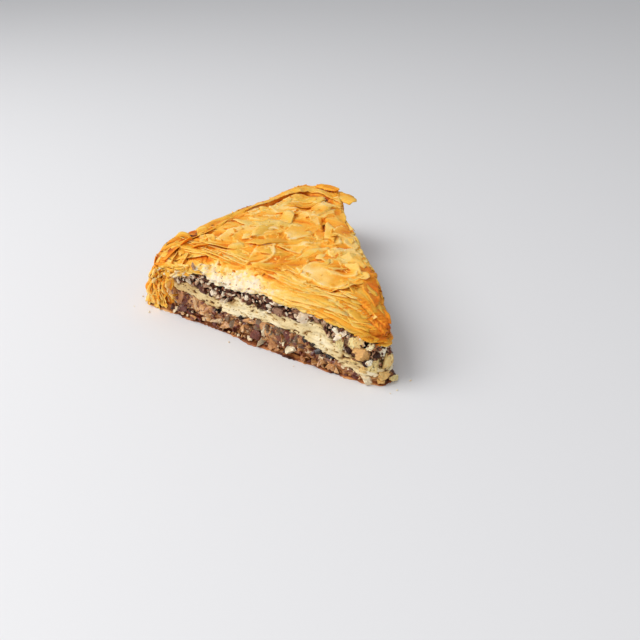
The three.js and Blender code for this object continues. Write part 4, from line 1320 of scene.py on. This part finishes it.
OUTER_BEND = ((-1.2, 2.6), (-1.0, 7), (0.2, 12.5), (2.2, 17), (6, 20.6), (12, 22.6), (20, 24.6), (30, 26.2))
INNER_BEND = ((20, 4.6), (16.4, 6.4), (14.2, 9.6), (14, 13.6), (16.4, 17), (20, 19), (24.6, 21), (30, 24.6))
FOLD_BAKES = (0.5, 0.36, 0.46, 0.34, 0.5, 0.32, 0.4, 0.28, 0.34, 0.2)  # from the outermost sheet inwards
PLEATS = ((1, 15, 0, 14, 9), (2, 20, 10, 30, 10), (2, 12, 26, 64, 10))  # x and y from and to, how many


def nested_sheet(rng, share, first, last, bake):
    """One sheet of the fold, between the outermost bend and the innermost, from `first` to `last` along the
    pan side. Its front edge is torn."""
    knots = mixed(np.array(OUTER_BEND), np.array(INNER_BEND), share)
    steps = np.linspace(0, walked(knots)[-1], 56)
    bend = smoothed(along(knots, steps), 24)
    s, y = np.meshgrid(steps, np.arange(first, last, 0.7))
    x, z = bend[:, 0][None, :] + 0 * y, bend[:, 1][None, :] + 0 * y
    deeper = np.clip(y, 0, None)
    z = z + (crust_height(x + 4, deeper) - crust_height(x + 4, 0 * y) - 1.2 * deeper) * ease(z / 24)
    seed = int(rng.integers(10000))
    ragged = 1.5 * unevenness(s, 0 * y, 3.5, seed) + 0.8 * unevenness(s, 0 * y, 1.3, seed + 1)
    at_edge = np.clip(1 - (y - first) / 2.4, 0, 1)
    radius = ROUNDING["pan"]
    corner = radius - np.sqrt(np.clip(radius**2 - (radius - np.clip(y, 0, radius)) ** 2, 0, None))
    buckle = 1.2 * unevenness(s + 5, 0.5 * y, 5.0, seed + 2) + 0.5 * creases(s + 5, y, 3.6, seed + 5)
    x = x + np.where(x < 8, corner + 0.4 * deeper, 0) * 0.55 + buckle
    place = np.stack([x, y + ragged * at_edge, z + 0.5 * unevenness(x, y, 3.4, seed + 3)], axis=-1)
    marks = bake + 0.22 * unevenness(s, y, 3.5, seed + 4) - 0.12 * at_edge
    return place.reshape(-1, 3), sheet_faces(*s.shape), np.clip(marks, 0, 1).reshape(-1, 1)


rng = np.random.default_rng(29)
bodies = []
for number, baked in enumerate(FOLD_BAKES):
    bake = baked + rng.normal(0, 0.03)
    share = number / (len(FOLD_BAKES) - 1)
    bodies.append(nested_sheet(rng, share, rng.uniform(-0.9, 0.5), 3.5 + 0.5 * number, bake))
crust_piece("nested_folds", bodies, 0.85)

# Torn leaves on the pan side, and the frayed ones at the foot of its front corner.
rng = np.random.default_rng(31)
bodies = []
once_round = len(CUT_PLAN) * SPACING
start, end, corner = (round_to(x, y) - once_round for x, y in ((WRAP + 10, 109), (0, 14), (0, 5)))
for _ in range(160):
    around, z = rng.uniform(start, end), rng.uniform(3, 23)
    bake = 0.48 + rng.normal(0, 0.1) - 0.1 * (z < 6)
    bodies.append(leaf(
        rng, on_side, (around, z), (rng.uniform(11, 24), rng.uniform(5, 9)), rng.normal(0.1, 0.45),
        lift=rng.uniform(0.3, 1.3), towards=rng.choice((SIDEWAYS, -SIDEWAYS)), cup=rng.uniform(-0.2, 0.6),
        waves=0.5, bake=bake, sunk=1.1,
    ))
for number in range(48):
    frayed = number % 3 > 0
    along_side, heights, turns, bakes, sunk = (
        ((-7, 15), (0.8, 10), (0.3, 0.6), (0.2, 0.4), 0.0) if frayed else
        ((-7, 12), (10, 21), (1.2, 0.8), (0.34, 0.75), 0.6)
    )
    place = (corner + rng.uniform(*along_side), rng.uniform(*heights))
    bake = rng.uniform(*bakes)
    bodies.append(leaf(
        rng, on_side, place, (rng.uniform(7, 12), rng.uniform(3.5, 6.5)), rng.normal(*turns),
        lift=rng.uniform(1.0, 2.6), towards=rng.choice((0.0, math.pi)), cup=rng.uniform(0.2, 1.2), waves=0.4,
        bake=bake, sunk=sunk, grain=0.8,
    ))
crust_piece("pan_side_leaves", bodies)


def pleat(rng, lay, path, widest, lift, arch):
    """A sheet crumpled into a short thick fold, its edges tucked under and painted dark as shade."""
    return ribbon(
        rng, lay, path, rng.uniform(4.5, widest), lift, lift, rng.uniform(*arch), 0.5 + rng.normal(0, 0.2),
        spacing=0.7, crushed=0.8, rim=0.5,
    )


# Folds crumpled together round the front corner, and longer ones along the pan side.
rng = np.random.default_rng(33)
bodies = []
for x0, x1, y0, y1, count in PLEATS:
    for _ in range(count):
        at = np.array([rng.uniform(x0, x1), rng.uniform(y0, y1)])
        turn = rng.choice((0.9, 2.2)) + rng.normal(0, 0.35) if y1 < 60 else 1.5 + rng.normal(0, 0.25)
        half = rng.uniform(3.5, 6.5) if y1 < 60 else rng.uniform(7, 12)
        bend = rng.uniform(-2.0, 2.0)
        ahead = np.array([math.cos(turn), math.sin(turn)])
        aside = np.array([-math.sin(turn), math.cos(turn)])
        path = [at - half * ahead, at + bend * aside, at + half * ahead]
        bodies.append(pleat(rng, over_crust, path, widest=8.0, lift=-1.7, arch=(-0.9, 0.4)))
for _ in range(14):
    around, z, turn = rng.uniform(-16, 4), rng.uniform(5, 20), rng.uniform(0.2, 1.9)
    half, bend = rng.uniform(3, 5), rng.uniform(-1.6, 1.6)
    forward, up = half * math.cos(turn), half * math.sin(turn)
    path = [(around - forward, z - up), (around - bend, z + bend), (around + forward, z + up)]
    bodies.append(pleat(rng, on_side, path, widest=7.0, lift=-2.0, arch=(-1.0, 0.2)))
crust_piece("corner_pleats", bodies, 0.4)


# ---- Crumbs -----------------------------------------------------------------------------------------
# Bits that the knife and the breaking crust left: crumbs of walnut at the cuts and on the bare patch,
# slivers of pastry on the crust, and a few crumbs on the board round the piece.

UPWARD = (0.0, 0.0, 1.0)
ALONG_CUTS = (("front", (0.0, -1.0, 0.0), 3), ("slant", (0.674, 0.739, 0.0), 5))
RING_POINTS = 360


def rough_crumb(tree):
    """A lump of twenty faces, stretched."""
    lump = add_node(tree, "GeometryNodeMeshIcoSphere", {"Radius": 0.5 * MM, "Subdivisions": 1})
    return add_node(tree, "GeometryNodeTransform", {
        "Geometry": lump.outputs["Mesh"], "Scale": (1.0, 0.75, 0.6),
    }).outputs["Geometry"]


def thin_sliver(tree):
    """A curved scrap of a sheet, a few faces with a thickness."""
    sheet = add_node(tree, "GeometryNodeMeshGrid", {
        "Size X": 1.6 * MM, "Size Y": 0.8 * MM, "Vertices X": 4, "Vertices Y": 3,
    })
    place = add_node(tree, "GeometryNodeInputPosition").outputs[0]
    uneven = add_node(tree, "ShaderNodeTexNoise", {"Vector": place, "Scale": 900.0}, noise_dimensions="3D")
    across = add_node(tree, "ShaderNodeVectorMath", {
        0: uneven.outputs["Color"], 1: (0.5, 0.5, 0.5),
    }, operation="SUBTRACT")
    shift = add_node(tree, "ShaderNodeVectorMath", {
        0: across.outputs[0], "Scale": 1.8 * MM,
    }, operation="SCALE")
    bent = add_node(tree, "GeometryNodeSetPosition", {
        "Geometry": sheet.outputs["Mesh"], "Offset": shift.outputs[0],
    }).outputs[0]
    solid = add_node(tree, "GeometryNodeExtrudeMesh", {
        "Mesh": bent, "Offset Scale": 0.2 * MM, "Individual": False,
    })
    both = add_node(tree, "GeometryNodeJoinGeometry")
    flipped = add_node(tree, "GeometryNodeFlipFaces", {"Mesh": bent})
    tree.links.new(flipped.outputs[0], both.inputs[0])
    tree.links.new(solid.outputs["Mesh"], both.inputs[0])
    return add_node(tree, "GeometryNodeMergeByDistance", {
        "Geometry": both.outputs[0], "Distance": 0.001 * MM,
    }).outputs[0]


def strewn(name, ground, density, shape, look, node, slot, facing, sizes, marks, seed):
    """Strews pieces of a shape over the faces of the ground, `density` to the square millimetre, where they
    look more than a little `facing`. `marks` are the look's marks with the range each is drawn from."""
    points, faces = ground
    mesh = bpy.data.meshes.new(name + "_ground")
    mesh.from_pydata(((points - ORIGIN) * MM).tolist(), [], faces.tolist())
    holder = put(name + "_ground", mesh)
    tree = bpy.data.node_groups.new(name, "GeometryNodeTree")
    tree.interface.new_socket("Ground", in_out="INPUT", socket_type="NodeSocketGeometry")
    for label in ("Pieces per mm2", "Smallest", "Largest"):
        tree.interface.new_socket(label, in_out="INPUT", socket_type="NodeSocketFloat")
    tree.interface.new_socket("Pieces", in_out="OUTPUT", socket_type="NodeSocketGeometry")
    entry = add_node(tree, "NodeGroupInput").outputs
    per_m2 = sum_of(tree, entry["Pieces per mm2"], 1 / MM**2, "MULTIPLY")
    normal = add_node(tree, "GeometryNodeInputNormal").outputs[0]
    looks = add_node(tree, "ShaderNodeVectorMath", {0: normal, 1: facing}, operation="DOT_PRODUCT")
    chosen = add_node(tree, "FunctionNodeCompare", {
        0: looks.outputs["Value"], 1: 0.25,
    }, data_type="FLOAT", operation="GREATER_THAN")
    spots = add_node(tree, "GeometryNodeDistributePointsOnFaces", {
        "Mesh": entry["Ground"], "Density": per_m2, "Seed": seed, "Selection": chosen.outputs[0],
    })
    size = add_node(tree, "FunctionNodeRandomValue", {
        2: entry["Smallest"], 3: entry["Largest"], "Seed": seed + 1,
    })
    spin = add_node(tree, "FunctionNodeRandomValue", {
        0: (-0.5, -0.5, 0.0), 1: (0.5, 0.5, 2 * math.pi), "Seed": seed + 2,
    }, data_type="FLOAT_VECTOR")
    turned = add_node(tree, "FunctionNodeRotateRotation", {
        "Rotation": spots.outputs["Rotation"], "Rotate By": spin.outputs[0],
    }, rotation_space="LOCAL")
    placed = add_node(tree, "GeometryNodeInstanceOnPoints", {
        "Points": spots.outputs["Points"], "Instance": shape(tree), "Rotation": turned.outputs[0],
        "Scale": size.outputs[1],
    }).outputs[0]
    for number, (mark, (low, high)) in enumerate(marks.items()):
        drawn = add_node(tree, "FunctionNodeRandomValue", {2: low, 3: high, "Seed": seed + 3 + number})
        placed = add_node(tree, "GeometryNodeStoreNamedAttribute", {
            "Geometry": placed, "Name": mark, "Value": drawn.outputs[1],
        }, data_type="FLOAT", domain="INSTANCE").outputs[0]
    real = add_node(tree, "GeometryNodeRealizeInstances", {"Geometry": placed}).outputs[0]
    finished = add_node(tree, "GeometryNodeSetMaterial", {"Geometry": real, "Material": look}).outputs[0]
    tree.links.new(finished, add_node(tree, "NodeGroupOutput").inputs[0])
    strewing = holder.modifiers.new(name, "NODES")
    strewing.node_group = tree
    values = {"Pieces per mm2": density, "Smallest": sizes[0], "Largest": sizes[1]}
    for socket in tree.interface.items_tree:
        if socket.name in values:
            strewing[socket.identifier] = values[socket.name]
    evaluated = holder.evaluated_get(bpy.context.evaluated_depsgraph_get())
    result = bpy.data.meshes.new_from_object(evaluated)
    belongs(put(name, result), node, slot)
    bpy.data.objects.remove(holder)
    bpy.data.meshes.remove(mesh)
    result.name = name


def cut_band(low, high, out):
    """A band over the two cuts between two layers' faces, for crumbs to lie on."""
    plan, _ = rounded_plan(front=-out, slant=-out, pan=WRAP + 2)
    low, high = low(*plan.T), high(*plan.T)
    rings = np.array([np.column_stack([plan, mixed(low, high, share)]) for share in (0.0, 0.5, 1.0)])
    index = np.arange(3 * len(plan)).reshape(3, -1)
    return rings.reshape(-1, 3), side_faces(index)


def crust_part(inside):
    """The faces of the crust's top whose middles lie inside an area, for crumbs and scraps to lie on."""
    x, y, z = crust_points[crust_faces].mean(axis=1).T
    return crust_points, crust_faces[inside(x, y) & (z > 18)]


for layer, low, high, out, density, look, slot, skins, further in (
    ("upper", sheets_top, nuts2_top, -0.9, 0.5, dry_look, "dark_walnut", (-0.3, 1.5), 0),
    ("lower", bottom_top, nuts1_top, -0.8, 0.3, amber_look, "syrupy_walnut", (-0.4, 1.3), 20),
):
    band = cut_band(low, high, out)
    for cut, facing, seed in ALONG_CUTS:
        strewn(f"{layer}_crumbs_{cut}", band, density, rough_crumb, look, f"{layer}_walnuts", slot, facing,
               (0.7, 1.8), {"tone": (0.0, 0.8), "skin": skins}, seed + further)
area = crust_part(lambda x, y: bareness(x, y) > 0.6)
strewn("patch_crumbs", area, 0.13, rough_crumb, dry_look, "upper_walnuts", "dark_walnut", UPWARD, (0.3, 1.0),
       {"tone": (-0.2, 0.6), "skin": (-1.2, 1.2)}, 11)
area = crust_part(lambda x, y: (y > 4) & (from_slant(x, y) > 3) & (x > 4))
strewn("crust_scraps", area, 0.02, thin_sliver, golden_look, "top_crust", "golden_pastry", UPWARD, (0.7, 1.8),
       {"bake": (0.14, 0.6)}, 13)

rings = []  # a narrow ring of the board round the foot of the piece
for away in (-7.0, -2.0):
    plan, _ = rounded_plan(front=away, slant=away, pan=away, spacing=1.0)
    rings.append(np.column_stack([plan[:RING_POINTS], np.full(RING_POINTS, 0.35)]))
board_ring = np.concatenate(rings), side_faces(np.arange(2 * RING_POINTS).reshape(2, RING_POINTS))
strewn("board_crumbs", board_ring, 0.005, rough_crumb, amber_look, None, "syrupy_walnut", UPWARD, (0.5, 1.3),
       {"tone": (-0.2, 0.4), "skin": (-1.0, 0.4)}, 23)
